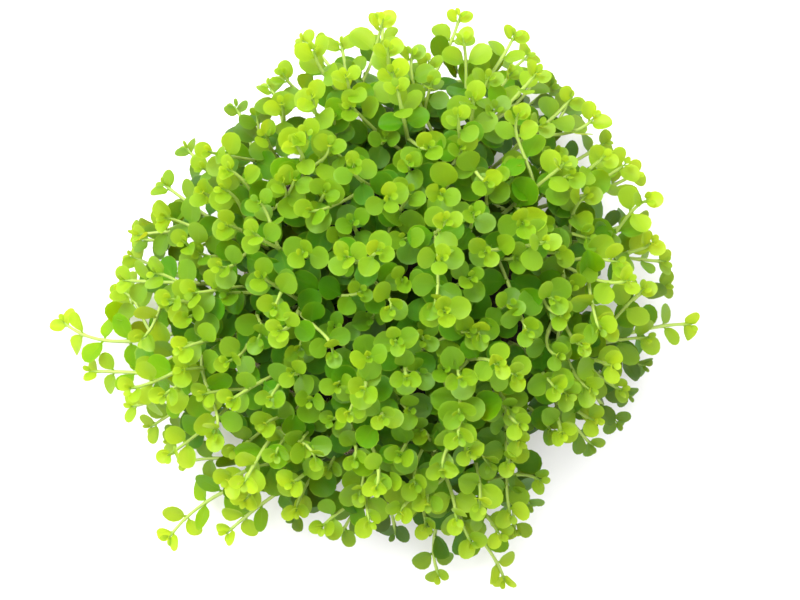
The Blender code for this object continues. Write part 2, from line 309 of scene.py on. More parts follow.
@dataclass(frozen=True)
class Habit:
    """How the plant grows: the sizes and ranges that place every stem and leaf, as in the CAD."""

    seed: int = 7
    radii: Pair = (0.32 * MM, 0.50 * MM)
    wall_share: float = 0.5
    foot_gap: float = 0.5 * MM
    foot_follow: float = 0.3
    foot_swing: float = 0.3
    foot_lean: float = 0.75
    tip_lean: float = 0.22
    foot_hold: float = 0.42
    tip_hold: float = 0.36
    path_steps: int = 40
    pair_gaps: tuple[float, ...] = (1.3 * MM, 3.0 * MM, 4.2 * MM, 4.8 * MM, 5.0 * MM)
    leaf_lengths: tuple[float, ...] = (2.9 * MM, 3.8 * MM, 4.5 * MM, 5.0 * MM, 5.0 * MM)
    leaf_slimness: tuple[float, ...] = (1.2, 1.15, 1.15, 1.2, 1.2)
    leaf_rises: tuple[float, ...] = (40, 26, 15, 8, 5)
    gap_range: Pair = (0.8, 1.2)
    node_length: float = 0.45 * MM
    leaf_half_thick: float = 0.17 * MM
    size_range: Pair = (0.88, 1.12)
    leaf_range: Pair = (0.92, 1.08)
    rise_stray: float = 7
    turn_stray: float = 0.15
    roll_strays: Pair = (0.3, 0.45)
    face_up: float = 1.5
    face_stray: float = 0.3
    level_out: float = 0.6
    section_places: Pair = (0.45, 0.93)
    section_widths: Pair = (1.0, 0.56)
    stem_corners: Triple = (math.radians(45), math.radians(165), math.radians(285))
    attempts: int = 300
    drift_gain: float = 2.5
    size_loss: float = 0.3
    # Pairs that only the dressed plant has: the older ones further down, and the bud at the tip
    old_gaps: tuple[float, ...] = (5.4 * MM, 5.8 * MM, 6.2 * MM)
    old_lengths: tuple[float, ...] = (4.9 * MM, 4.6 * MM, 4.2 * MM)
    old_rise: float = 2
    old_slimness: float = 1.2
    bud_place: float = 0.35 * MM
    bud_length: float = 1.5 * MM
    bud_rise: float = 52
    bud_slimness: float = 1.35

    def draws(self, step: Draw) -> Generator:
        """The stream of random numbers for a step."""
        return np.random.default_rng(self.seed + step)

    def places(self, size: float, pairs: int, rng: Generator) -> Array:
        """Where a stem's leaf pairs are: the running sum of the stretches between them, each a little off."""
        strays = rng.uniform(*self.gap_range, len(self.pair_gaps))
        return np.cumsum(self.pair_gaps * strays)[:pairs] * size

    def older_places(self, last: float, number: int, size: float, rng: Generator) -> Array:
        """Where the pairs below a stem's last pair are, from that pair's place and its number counted from the tip."""
        gaps = np.array((self.pair_gaps + self.old_gaps)[number + 1 :])
        return last + np.cumsum(gaps * rng.uniform(*self.gap_range, len(gaps))) * size

    def leaf_at(self, stem: Stem, place: float, side: Array, number: int, size: float, rng: Generator) -> Leaf:
        """A leaf on one side of the stem, which rises towards the tip and turns its face up.

        Args:
            stem: What it grows from.
            place: Distance from the stem's tip.
            side: Direction square to the stem.
            number: Which pair it is in, counted from the tip, or -1 for the bud.
            size: The shoot's size beside others.
            rng: Source of its small differences.

        Returns:
            The leaf.
        """
        older = len(self.old_gaps)
        rises = self.leaf_rises + (self.old_rise,) * older + (self.bud_rise,)
        lengths = self.leaf_lengths + self.old_lengths + (self.bud_length,)
        slimness = self.leaf_slimness + (self.old_slimness,) * older + (self.bud_slimness,)
        rise = math.radians(rises[number] + rng.uniform(-self.rise_stray, self.rise_stray))
        length = lengths[number] * size * rng.uniform(*self.leaf_range)
        foot = stem.point(place) + side * stem.radius(place) * self.wall_share
        ahead = stem.ahead(place)
        side = unit(side - UP * (side @ UP) * self.level_out)
        along = unit(side * math.cos(rise) + ahead * math.sin(rise))
        face = ahead * math.cos(rise) - side * math.sin(rise)
        face = face + self.face_up * UP + rng.uniform(-self.face_stray, self.face_stray, 3)
        face = unit(face - along * (face @ along))
        age = (number + 1) / len(lengths)
        return Leaf(foot, length, length / slimness[number] / 2, along, np.cross(face, along), face, age)

    def pair_at(self, stem: Stem, place: float, number: int, size: float, turn: float, rng: Generator) -> list[Leaf]:
        """The two leaves of a pair, or of the bud, each pair a quarter turn on from the one before."""
        side = stem.sides(place, turn)[number % 2]
        return [self.leaf_at(stem, place, sign * side, number, size, rng) for sign in (1, -1)]

    def roll(self, pitch: float, rng: Generator) -> float:
        """How a stem's sides are turned: crosswise on a level shoot, freely on an upright one."""
        stray = self.roll_strays[0] + self.roll_strays[1] * max(0.0, math.sin(pitch))
        return math.pi / 4 + rng.uniform(-stray, stray)


@dataclass(frozen=True)
class PadShape:
    """The root pad's form: a drum with a rounded shoulder, its side waved in plan."""

    radius: float = 27 * MM
    height: float = 15 * MM
    shoulder: float = 4.0
    lobes: tuple[Triple, ...] = ((3, 0.05, 0.8), (5, 0.03, 2.1))

    def radius_at(self, bearing: Any) -> Any:
        """The pad's radius at a bearing: its mean radius with a sine wave for each lobe."""
        return self.radius * (1 + sum(size * np.sin(n * bearing + turn) for n, size, turn in self.lobes))

    def top_at(self, share: Any) -> Any:
        """Height of the surface at a share of the radius: height times sqrt(1 - share^shoulder)."""
        return self.height * np.sqrt(np.maximum(0.0, 1 - share**self.shoulder))


@dataclass(frozen=True)
class Aim:
    """Where a shoot's tip is and which way it points, its swing aside from straight outwards included."""

    bearing: float
    reach: float
    height: float
    pitch: float
    swing: float = 0.0

    def tip(self) -> Array:
        """The tip's place."""
        return self.reach * level(self.bearing) + self.height * UP

    def direction(self) -> Array:
        """The tip's direction."""
        return level(self.bearing + self.swing) * math.cos(self.pitch) + UP * math.sin(self.pitch)


@dataclass(frozen=True)
class Kind:
    """What main shoots of one kind share: how far a tip may drift, where they stand on the pad, and their pairs."""

    drift: float
    feet: Pair
    pairs: int


@dataclass(frozen=True)
class Plan:
    """A main shoot before it grows."""

    name: str
    aim: Aim
    kind: Kind


@dataclass(frozen=True)
class Mound:
    """The mound that the shoots fill: its plan outline in degrees and mm, and how they stand in it."""

    top: float = 43 * MM
    rim: float = 12 * MM
    pitches: Pair = (88, 26)
    fall: float = 1.3
    reach: float = 46 * MM
    # painted shade: the depth in the mound over which the painted light on leaves falls away
    painted_shade_fade: float = 14.5 * MM
    outline: tuple[Pair, ...] = (
        (0, 43), (30, 44), (50, 43), (80, 46), (110, 45), (125, 40), (150, 42), (170, 45), (200, 47),
        (212, 45), (230, 42), (248, 39), (270, 39), (290, 43), (302, 40), (312, 33), (330, 40),
    )  # fmt: skip

    def aim(self, share: float, turn: float) -> Aim:
        """A tip on the mound: its height follows a quarter of an ellipse, and it leans out the more the further out.

        Args:
            share: How far out it is, as a share of the outline's reach.
            turn: Its bearing in radians, any number of turns.

        Returns:
            The aim.
        """
        bearings, reaches = np.array(self.outline, dtype=float).T
        bearing = turn % math.tau
        reach = float(np.interp(math.degrees(bearing), bearings, reaches, period=360)) * MM
        height = self.rim + (self.top - self.rim) * math.sqrt(1 - share**2)
        pitch = self.pitches[0] + (self.pitches[1] - self.pitches[0]) * share**self.fall
        return Aim(bearing, share * reach, height, math.radians(pitch))

    def light(self, places: Array) -> Array:
        """Painted light at places in the mound, from 0 to 1: exp(-(1 - share^2) (depth / fade)^3); leaf colours are
        darkened by it as painted shade deeper in the mound.

        Args:
            places: Points.

        Returns:
            One number for each.
        """
        middle = 1 - np.minimum(1, (places[:, :2] ** 2).sum(axis=1) / self.reach**2)
        depth = self.rim + (self.top - self.rim) * np.sqrt(middle) - places[:, 2]
        return np.exp(-middle * (np.maximum(0, depth) / self.painted_shade_fade) ** 3)


@dataclass(frozen=True)
class MainShoots:
    """The shoots of the CAD: the rim's tips one by one, and the crown's on a sunflower pattern."""

    rim_tips: tuple[tuple[float, float, float, float, float], ...] = (
        (356, 48, 8, 5, 0), (8, 42, 16, 5, 0), (19, 41.5, 9, 0, 0), (28, 41, 19, 5, 0),
        (39, 41.5, 10, 0, 0), (48, 41.5, 18, 5, 0), (58, 43, 9, 0, 0), (67, 44.5, 17, 10, 0),
        (79, 46, 11, 5, 8), (93, 46, 7, 5, 0), (102, 42, 16, 0, 0), (110, 44.5, 9, 5, 30),
        (121, 39, 18, 0, 0), (132, 40.5, 9, 5, 0), (145, 42, 6, 5, 0), (155, 41, 16, 0, 0),
        (167, 43, 10, 0, 0), (176, 44, 19, 5, 0), (184, 54.5, 5, 0, -36), (192, 50, 8, -5, 0),
        (201, 46.5, 14, -15, 0), (211, 43.5, 7, -10, 0), (225, 53.5, 5, 0, 6), (234, 45.5, 11, 0, 0),
        (245, 40, 7, -5, 0), (257, 37.5, 16, -5, 0), (268, 38.5, 8, 0, 0), (278, 44.5, 6, 0, 20),
        (291, 48, 6, 0, -12), (303, 39.5, 13, 0, 25), (323, 37.5, 14, -5, 0), (336, 40.5, 7, 0, 0),
    )  # fmt: skip
    rim: Kind = Kind(drift=1.0 * MM, feet=(0.72, 0.86), pairs=4)
    crown_count: int = 26
    crown_share: float = 0.88
    crown: Kind = Kind(drift=2.5 * MM, feet=(0.45, 0.80), pairs=5)

    def plans(self, mound: Mound) -> list[Plan]:
        """All plans in the CAD's order: the rim by bearing, then the crown outwards, a golden turn apart.

        Args:
            mound: The mound that the crown fills.

        Returns:
            The plans.
        """
        plans = []
        for i, (turn, reach, height, pitch, swing) in enumerate(self.rim_tips):
            aim = Aim(math.radians(turn), reach * MM, height * MM, math.radians(pitch), math.radians(swing))
            plans.append(Plan(f"rim_shoot_{i + 1:02d}", aim, self.rim))
        for i in range(self.crown_count):
            share = self.crown_share * math.sqrt((i + 0.5) / self.crown_count)
            plans.append(Plan(f"crown_shoot_{i + 1:02d}", mound.aim(share, i * GOLDEN_TURN), self.crown))
        return plans


@dataclass
class Shoot:
    """A main shoot of the CAD with what grows on it: its plan, its own stem and leaves, and its twigs."""

    plan: Plan
    trunk: Branch
    size: float
    twigs: list[Branch] = field(default_factory=list)


@dataclass(frozen=True)
class Grower:
    """Grows the main shoots as the CAD did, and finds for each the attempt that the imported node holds."""

    habit: Habit
    pad: PadShape
    good_match: float = 0.02 * MM

    def attempt(self, plan: Plan, index: int, number: int) -> Shoot:
        """One attempt at a shoot, with the same draws in the same order as in the CAD.

        Args:
            plan: What it is and where it goes.
            index: The shoot's place among all main shoots.
            number: Which attempt.

        Returns:
            The shoot.
        """
        habit, aim, tried = self.habit, plan.aim, number / self.habit.attempts
        rng = np.random.default_rng((habit.seed, index, number))
        drift = plan.kind.drift * (1 + habit.drift_gain * tried)
        tip = aim.tip() + rng.uniform(-drift, drift, 3)
        outward = min(1.0, aim.reach / self.pad.radius)
        swing = habit.foot_follow * aim.swing + rng.uniform(-habit.foot_swing, habit.foot_swing)
        foot_bearing = aim.bearing + swing
        foot_share = outward * rng.uniform(*plan.kind.feet)
        foot_height = self.pad.top_at(foot_share) + habit.foot_gap
        foot = foot_share * self.pad.radius_at(foot_bearing) * level(foot_bearing) + foot_height * UP
        lean = unit(aim.direction() + rng.uniform(-habit.tip_lean, habit.tip_lean, 3))
        rise = unit(UP + habit.foot_lean * outward * level(foot_bearing))
        span = np.linalg.norm(tip - foot)
        hold = (tip, tip - lean * span * habit.tip_hold, foot + rise * span * habit.foot_hold, foot)
        stem = Stem(cubic(hold, habit.path_steps), habit.roll(aim.pitch, rng), habit.radii)
        size = rng.uniform(*habit.size_range) * (1 - habit.size_loss * tried)
        places = habit.places(size, plan.kind.pairs, rng)
        leaves = []
        for pair, place in enumerate(places):
            turn = rng.uniform(-habit.turn_stray, habit.turn_stray)
            leaves += habit.pair_at(stem, place, pair, size, turn, rng)
        return Shoot(plan, Branch(stem, leaves, list(places)), size)

    def box(self, shoot: Shoot) -> Array:
        """The lowest and highest corners of the solid that the CAD makes of a shoot.

        Args:
            shoot: The shoot.

        Returns:
            Both corners.
        """
        habit, stem = self.habit, shoot.trunk.stem
        nodes = np.array(shoot.trunk.nodes)
        rings = np.concatenate((nodes - habit.node_length / 2, nodes + habit.node_length / 2))
        points = []
        for place in (*rings, (stem.length + nodes[-1]) / 2, stem.length):
            reach = stem.radius(place)
            points += [stem.point(place) + reach * stem.sides(place, turn)[0] for turn in habit.stem_corners]
        for leaf in shoot.trunk.leaves:
            for place, width, thick in zip(habit.section_places, habit.section_widths, (habit.leaf_half_thick, 0)):
                centre = leaf.foot + leaf.along * leaf.length * place
                across = leaf.across * leaf.half_width * width
                points += [centre + i * across + j * thick * leaf.face for i in (1, -1) for j in (1, -1)]
        return np.array((np.min(points, axis=0), np.max(points, axis=0)))

    def find(self, plan: Plan, index: int) -> Shoot:
        """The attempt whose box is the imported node's own.

        Args:
            plan: What it is and where it goes.
            index: The shoot's place among all main shoots.

        Returns:
            The shoot.
        """
        packed = np.array(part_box(plan.name))
        best, least = None, math.inf
        for number in range(self.habit.attempts):
            shoot = self.attempt(plan, index, number)
            gap = float(np.abs(self.box(shoot) - packed).max())
            if gap < least:
                best, least = shoot, gap
            if gap < self.good_match:
                break
        LOG.info("%s: attempt %d matches its node within %.4f mm", plan.name, number, least / MM)
        return best


class Crowd:
    """The leaves and stems already placed, asked how badly a new one would cross them."""

    rim_samples = 12
    touch_gap = 0.22 * MM
    stem_room = 0.4 * MM

    def __init__(self) -> None:
        """Starts with nothing placed."""
        self.centres = np.empty((0, 3))
        self.axes = np.empty((0, 3, 3))
        self.halves = np.empty((0, 3))
        self.segments = np.empty((0, 2, 3))
        turn = np.linspace(0, math.tau, self.rim_samples, endpoint=False)
        self.round = np.stack((np.cos(turn), np.sin(turn), np.zeros(self.rim_samples)), axis=1)

    @staticmethod
    def discs(leaves: Sequence[Leaf]) -> tuple[Array, Array, Array]:
        """Leaves as flat ellipses: their centres, their axes as rows, and the scales of those axes.

        Args:
            leaves: The leaves.

        Returns:
            The three arrays.
        """
        centres = np.array([leaf.centre() for leaf in leaves])
        axes = np.array([(leaf.along, leaf.across, leaf.face) for leaf in leaves])
        return centres, axes, np.array([(leaf.length / 2, leaf.half_width, 1) for leaf in leaves])

    def add(self, leaves: Sequence[Leaf]) -> None:
        """Takes leaves in."""
        known = (self.centres, self.axes, self.halves)
        self.centres, self.axes, self.halves = map(np.concatenate, zip(known, self.discs(leaves)))

    def add_stem(self, points: Array) -> None:
        """Takes a stem in."""
        self.segments = np.concatenate((self.segments, np.stack((points[:-1], points[1:]), axis=1)))

    def rims(self, centres: Array, axes: Array, halves: Array) -> Array:
        """Points round each ellipse: centre + cos(turn) half length along + sin(turn) half width across."""
        return centres[:, None, :] + (self.round[None] * halves[:, None, :]) @ axes

    @staticmethod
    def pierced(starts: Array, ends: Array) -> Array:
        """Which segments cross a disc's plane inside it, where all are in the disc's own units.

        Args:
            starts: Their starts: along and across as shares of the disc's halves, and the height.
            ends: Their ends.

        Returns:
            True for each segment that does.
        """
        above, below = starts[..., 2], ends[..., 2]
        share = above / np.where(above == below, 1, above - below)
        hit = starts[..., :2] + (ends[..., :2] - starts[..., :2]) * share[..., None]
        return (above * below < 0) & ((hit**2).sum(axis=-1) < 1)

    def crossings(self, leaf: Leaf) -> float:
        """How many placed leaves and stems a leaf would cross or touch.

        Args:
            leaf: The leaf.

        Returns:
            Their number.
        """
        centres, axes, halves = self.discs([leaf])
        near = np.linalg.norm(self.centres - centres, axis=1) < self.halves[:, 0] + leaf.length / 2
        count = 0.0
        if near.any():
            theirs = self.rims(self.centres[near], self.axes[near], self.halves[near])
            theirs = (theirs - centres) @ axes[0].T / halves[0]
            mine = self.rims(centres, axes, halves) - self.centres[near][:, None]
            mine = mine @ self.axes[near].transpose(0, 2, 1) / self.halves[near][:, None]
            hit = np.zeros(len(mine), dtype=bool)
            for local in (theirs, mine):
                inside = (local[..., :2] ** 2).sum(axis=-1) < 1
                hit |= (inside & (np.abs(local[..., 2]) < self.touch_gap)).any(axis=1)
                hit |= self.pierced(local, np.roll(local, 1, axis=1)).any(axis=1)
            count += hit.sum()
        close = np.linalg.norm(self.segments[:, 0] - centres, axis=1) < leaf.length
        local = (self.segments[close] - centres) @ axes[0].T / halves[0]
        return count + self.pierced(local[:, 0], local[:, 1]).sum()

    def pierces(self, points: Array) -> float:
        """How many placed leaves a stem would run through, and half as much for stems it would touch.

        Args:
            points: The stem's path.

        Returns:
            The sum.
        """
        local = (points[None] - self.centres[:, None]) @ self.axes.transpose(0, 2, 1) / self.halves[:, None]
        leaves = self.pierced(local[:, :-1], local[:, 1:]).any(axis=1).sum()
        middles = self.segments.mean(axis=1)
        gaps = np.linalg.norm(middles[None] - points[1:-4:2, None], axis=2)  # without the foot, which may touch
        return leaves + (gaps.min(axis=1) < self.stem_room).sum() / 2


@dataclass(frozen=True)
class TwigHabit:
    """How twigs fill the mound between the main shoots."""

    count: int = 165
    share: float = 0.95
    phase: float = 1.3
    drift: float = 2.2 * MM
    depth: float = 7.5 * MM
    depth_skew: float = 1.6
    hill_size: float = 22 * MM
    hill_height: float = 1.5 * MM
    lean: float = 0.45
    keep_way: float = 0.5
    size_range: Pair = (0.92, 1.25)
    turn_stray: float = 0.3
    span: float = 13 * MM
    span_range: Pair = (6 * MM, 24 * MM)
    bend_cost: float = 0.9
    crowd_cost: float = 0.35
    far_cost: float = 10
    pierce_cost: float = 1.5
    highest_node: float = 8 * MM
    bare_foot: float = 2.2 * MM
    spot_gap: float = 5 * MM
    radii: Pair = (0.29 * MM, 0.38 * MM)
    way_out: Pair = (0.9, 0.8)
    holds: Pair = (0.38, 0.36)
    steps: int = 22
    hosts: int = 4
    tries: int = 3
    least_leaves: int = 4
    leaf_limit: float = 1.0
    edge_room: float = 0.5 * MM
    floor_room: float = 0.6 * MM
    # Where more twigs may close the gaps that are left, as seen from above
    fill_places: int = 2400
    fill_share: float = 0.84
    # The lobes of the outline: their bearings in degrees, and how far out they are filled
    lobes: tuple[Pair, ...] = ((45, 62), (164, 232), (282, 300), (332, 364))
    lobe_steps: tuple[int, int] = (24, 10)
    lobe_shares: Pair = (0.82, 1.0)


@dataclass(frozen=True)
class Fill:
    """How one round of filling goes: tries, the least gap, the depths of tips under the mound, and its stream."""

    tries: int
    gap: float
    depths: Pair
    step: Draw


class Thicket:
    """All that grows: the CAD's shoots, the twigs between them, and the older leaves below."""

    older_turns = 0.7
    older_tries = 6
    # painted shade: how far out from the middle the branches' green keeps deepening
    painted_shade_reach = 46 * MM
    tone_stray = 0.45
    mound_fill = Fill(160, 0.35 * MM, (1 * MM, 12 * MM), Draw.MOUND_FILL)
    lobe_fill = Fill(20, 0.8 * MM, (1 * MM, 8 * MM), Draw.LOBE_FILL)

    def __init__(self, habit: Habit, twig: TwigHabit, pad: PadShape, mound: Mound, main: MainShoots) -> None:
        """Finds the CAD's shoots.

        Args:
            habit: How shoots grow.
            twig: How twigs grow.
            pad: The root pad's shape.
            mound: The mound that twigs fill.
            main: The plans of the main shoots.
        """
        self.habit = habit
        self.twig = twig
        self.mound = mound
        self.crowd = Crowd()
        grower = Grower(habit, pad)
        self.shoots = [grower.find(plan, index) for index, plan in enumerate(main.plans(mound))]
        self.spots = [(shoot, place) for shoot in self.shoots for place in self.bearing_places(shoot)]
        self.feet = np.array([shoot.trunk.stem.point(place) for shoot, place in self.spots])
        self.ways = np.array([shoot.trunk.stem.ahead(place) for shoot, place in self.spots])
        self.used = np.zeros(len(self.spots))
        self.low, self.high = (np.array(corner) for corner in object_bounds())
        rng = habit.draws(Draw.TRUNK_TONES)
        for shoot in self.shoots:
            shoot.trunk.tone = self.tone(shoot.trunk.stem.points[0], rng)
            self.crowd.add(shoot.trunk.leaves)
            self.crowd.add_stem(shoot.trunk.stem.points[::2])

    def tone(self, tip: Array, rng: Generator) -> float:
        """How deep a branch's green is: deeper and darker the nearer its tip is to the crown's middle, as painted
        shade, and a stray.
        """
        middle = 1 - min(1.0, float(tip[:2] @ tip[:2]) / self.painted_shade_reach**2)
        return middle * (1 - self.tone_stray) + rng.uniform() * self.tone_stray

    def cost(self, leaf: Leaf) -> float:
        """What is wrong with a leaf's place: what it crosses, and whether it leaves the CAD's box.

        Args:
            leaf: The leaf.

        Returns:
            Its crossings, and a high cost on top where it leaves the box.
        """
        centre = leaf.centre()
        spread = np.abs(leaf.along) * leaf.length / 2 + np.abs(leaf.across) * leaf.half_width
        low = np.append(self.low[:2] - self.twig.edge_room, self.twig.floor_room)
        outside = (centre - spread < low).any() or (centre + spread > self.high + self.twig.edge_room).any()
        return self.crowd.crossings(leaf) + self.twig.far_cost * outside

    def add_older_pairs(self) -> int:
        """Adds the older pairs to the main shoots, each at the turn that crosses least.

        Returns:
            How many leaves they have.
        """
        rng = self.habit.draws(Draw.OLDER_PAIRS)
        count = 0
        for shoot in self.shoots:
            stem, nodes = shoot.trunk.stem, shoot.trunk.nodes
            first = len(nodes)
            for number, place in enumerate(self.habit.older_places(nodes[-1], first - 1, shoot.size, rng), first):
                if place > stem.length - self.twig.bare_foot:
                    break
                nodes.append(place)
                turns = rng.uniform(-self.older_turns, self.older_turns, self.older_tries)
                pairs = [self.habit.pair_at(stem, place, number, shoot.size, turn, rng) for turn in turns]
                costs = [[self.cost(leaf) for leaf in pair] for pair in pairs]
                best = int(np.argmin([sum(cost) for cost in costs]))
                leaves = [leaf for leaf, cost in zip(pairs[best], costs[best]) if cost <= self.twig.leaf_limit]
                shoot.trunk.leaves += leaves
                if leaves:
                    self.crowd.add(leaves)
                count += len(leaves)
        return count

    def aims(self) -> list[tuple[Aim, Array]]:
        """Twig tips on a sunflower pattern over the whole mound, sunk by random depths, highest first.

        Returns:
            Each twig's bearing and pitch, and where it ends.
        """
        twig = self.twig
        rng = self.habit.draws(Draw.TWIG_TIPS)
        aims = []
        for i in range(twig.count):
            share = twig.share * math.sqrt((i + 0.5) / twig.count)
            aim = self.mound.aim(share, i * GOLDEN_TURN + twig.phase)
            sunk = twig.depth * rng.uniform() ** twig.depth_skew
            tip = aim.tip() + rng.uniform(-twig.drift, twig.drift, 3) - sunk * UP
            aims.append((aim, tip + twig.hill_height * ripples(tip, twig.hill_size, self.habit.seed) * UP))
        return sorted(aims, key=lambda pair: -pair[1][2])

    def add_twig(self, aim: Aim, tip: Array, rng: Generator) -> bool:
        """Grows a twig to a tip, from the spot that suits it.

        Args:
            aim: Its bearing and pitch.
            tip: Where it ends.
            rng: Source of its strays.

        Returns:
            Whether it found room.
        """
        twig = self.twig
        spans = np.linalg.norm(tip - self.feet, axis=1)
        bends = 1 - (self.ways * (tip - self.feet)).sum(axis=1) / spans
        costs = (spans / twig.span - 1) ** 2 + twig.bend_cost * bends + twig.crowd_cost * self.used
        costs[(spans < twig.span_range[0]) | (spans > twig.span_range[1])] += twig.far_cost
        best, chosen, least = None, 0, math.inf
        for spot in np.repeat(np.argsort(costs)[: twig.hosts], twig.tries):
            branch, cost = self.grow_twig(aim, tip, *self.spots[spot], rng)
            if cost + costs[spot] < least:
                best, chosen, least = branch, spot, cost + costs[spot]
        best.leaves = [leaf for leaf in best.leaves if self.cost(leaf) <= twig.leaf_limit]
        if len(best.leaves) < twig.least_leaves:
            return False
        self.used[chosen] += 1
        self.spots[chosen][0].twigs.append(best)
        self.crowd.add(best.leaves)
        self.crowd.add_stem(best.stem.points[::2])
        return True

    def add_twigs(self) -> int:
        """Grows a twig to each tip of the pattern. Returns how many found room."""
        rng = self.habit.draws(Draw.TWIGS)
        return sum(self.add_twig(aim, tip, rng) for aim, tip in self.aims())

    def mound_aims(self) -> list[Aim]:
        """Places all over the mound."""
        shares = self.twig.fill_share * np.sqrt((np.arange(self.twig.fill_places) + 0.5) / self.twig.fill_places)
        return [self.mound.aim(share, i * GOLDEN_TURN) for i, share in enumerate(shares)]

    def lobe_aims(self) -> list[Aim]:
        """Places in the lobes of the outline, in rows from one bearing to the other.

        Returns:
            The places.
        """
        turns, rows = self.twig.lobe_steps
        grids = [(np.linspace(*lobe, turns), np.linspace(*self.twig.lobe_shares, rows)) for lobe in self.twig.lobes]
        return [self.mound.aim(share, math.radians(turn)) for grid in grids for turn in grid[0] for share in grid[1]]

    def fill_gaps(self, aims: Sequence[Aim], fill: Fill) -> int:
        """Grows more twigs, each to the middle of the widest gap that is left.

        A gap's width at a place is its level distance to the nearest leaf's middle, less that leaf's half width, or
        its distance to a place already tried if that is less.

        Args:
            aims: The places that are looked at.
            fill: How the round goes.

        Returns:
            How many twigs found room.
        """
        rng = self.habit.draws(fill.step)
        tips = np.array([aim.tip() for aim in aims])
        gaps = np.full(len(tips), math.inf)
        known, count = 0, 0
        for _ in range(fill.tries):
            centres, halves = self.crowd.centres[known:, :2], self.crowd.halves[known:, 1]
            known += len(centres)
            if len(centres):
                clear = np.linalg.norm(tips[:, None, :2] - centres[None], axis=2) - halves
                gaps = np.minimum(gaps, clear.min(axis=1))
            widest = int(gaps.argmax())
            if gaps[widest] < fill.gap:
                break
            count += self.add_twig(aims[widest], tips[widest] - rng.uniform(*fill.depths) * UP, rng)
            gaps = np.minimum(gaps, np.linalg.norm(tips - tips[widest], axis=1))
        LOG.info("widest gap left: %.2f mm", gaps.max() / MM)
        return count

    def bearing_places(self, shoot: Shoot) -> list[float]:
        """The places on a main shoot that may bear a twig: its lower nodes, some between them, and its foot.

        Args:
            shoot: The shoot.

        Returns:
            Distances from its tip.
        """
        stem, nodes = shoot.trunk.stem, shoot.trunk.nodes
        below = np.arange(nodes[-1] + self.twig.spot_gap, stem.length - self.twig.bare_foot, self.twig.spot_gap)
        return [place for place in nodes if place > self.twig.highest_node] + list(below)

    def grow_twig(self, aim: Aim, tip: Array, host: Shoot, place: float, rng: Generator) -> tuple[Branch, float]:
        """One try at a twig: a cubic curve from its host's node to its tip, with leaf pairs along it.

        Args:
            aim: Its pitch and bearing.
            tip: Where it ends.
            host: The shoot it grows from.
            place: The node's place on the host's stem.
            rng: Source of its lean, size and turn.

        Returns:
            The twig, and how much it and its leaves cross.
        """
        twig, habit = self.twig, self.habit
        foot = host.trunk.stem.point(place)
        ahead = host.trunk.stem.ahead(place)
        tip = tip + rng.uniform(-twig.drift, twig.drift, 3) / 2
        span = np.linalg.norm(tip - foot)
        way = (tip - foot) / span
        out = unit(unit(way - ahead * (way @ ahead)) * twig.way_out[0] + ahead * twig.way_out[1])
        lean = unit(aim.direction() + way * twig.keep_way + rng.uniform(-twig.lean, twig.lean, 3))
        hold = (tip, tip - lean * span * twig.holds[1], foot + out * span * twig.holds[0], foot)
        stem = Stem(cubic(hold, twig.steps), habit.roll(aim.pitch, rng), twig.radii)
        size = rng.uniform(*twig.size_range)
        branch = Branch(stem, [], [], self.tone(tip, rng))
        places = habit.places(size, len(habit.pair_gaps), rng)
        places = np.append(places, habit.older_places(places[-1], len(places) - 1, size, rng))
        for number, place in enumerate(places[places < stem.length - twig.bare_foot]):
            branch.nodes.append(place)
            turn = rng.uniform(-twig.turn_stray, twig.turn_stray)
            branch.leaves += habit.pair_at(stem, place, number, size, turn, rng)
        cost = sum(self.cost(leaf) for leaf in branch.leaves) + twig.pierce_cost * self.crowd.pierces(stem.points)
        return branch, cost

    def add_buds(self) -> None:
        """Gives every tip its bud, a tiny pair folded together."""
        rng = self.habit.draws(Draw.BUDS)
        for shoot in self.shoots:
            for branch in (shoot.trunk, *shoot.twigs):
                branch.leaves += self.habit.pair_at(branch.stem, self.habit.bud_place, -1, 1.0, 0.0, rng)

    def grow(self) -> list[Shoot]:
        """Grows everything in order.

        Returns:
            The main shoots with all that is on them.
        """
        twigs = self.add_twigs()
        older = self.add_older_pairs()
        twigs += self.fill_gaps(self.mound_aims(), self.mound_fill)
        twigs += self.fill_gaps(self.lobe_aims(), self.lobe_fill)
        self.add_buds()
        leaves = sum(len(branch.leaves) for shoot in self.shoots for branch in (shoot.trunk, *shoot.twigs))
        LOG.info("%d twigs, %d older leaves, %d leaves in all", twigs, older, leaves)
        return self.shoots


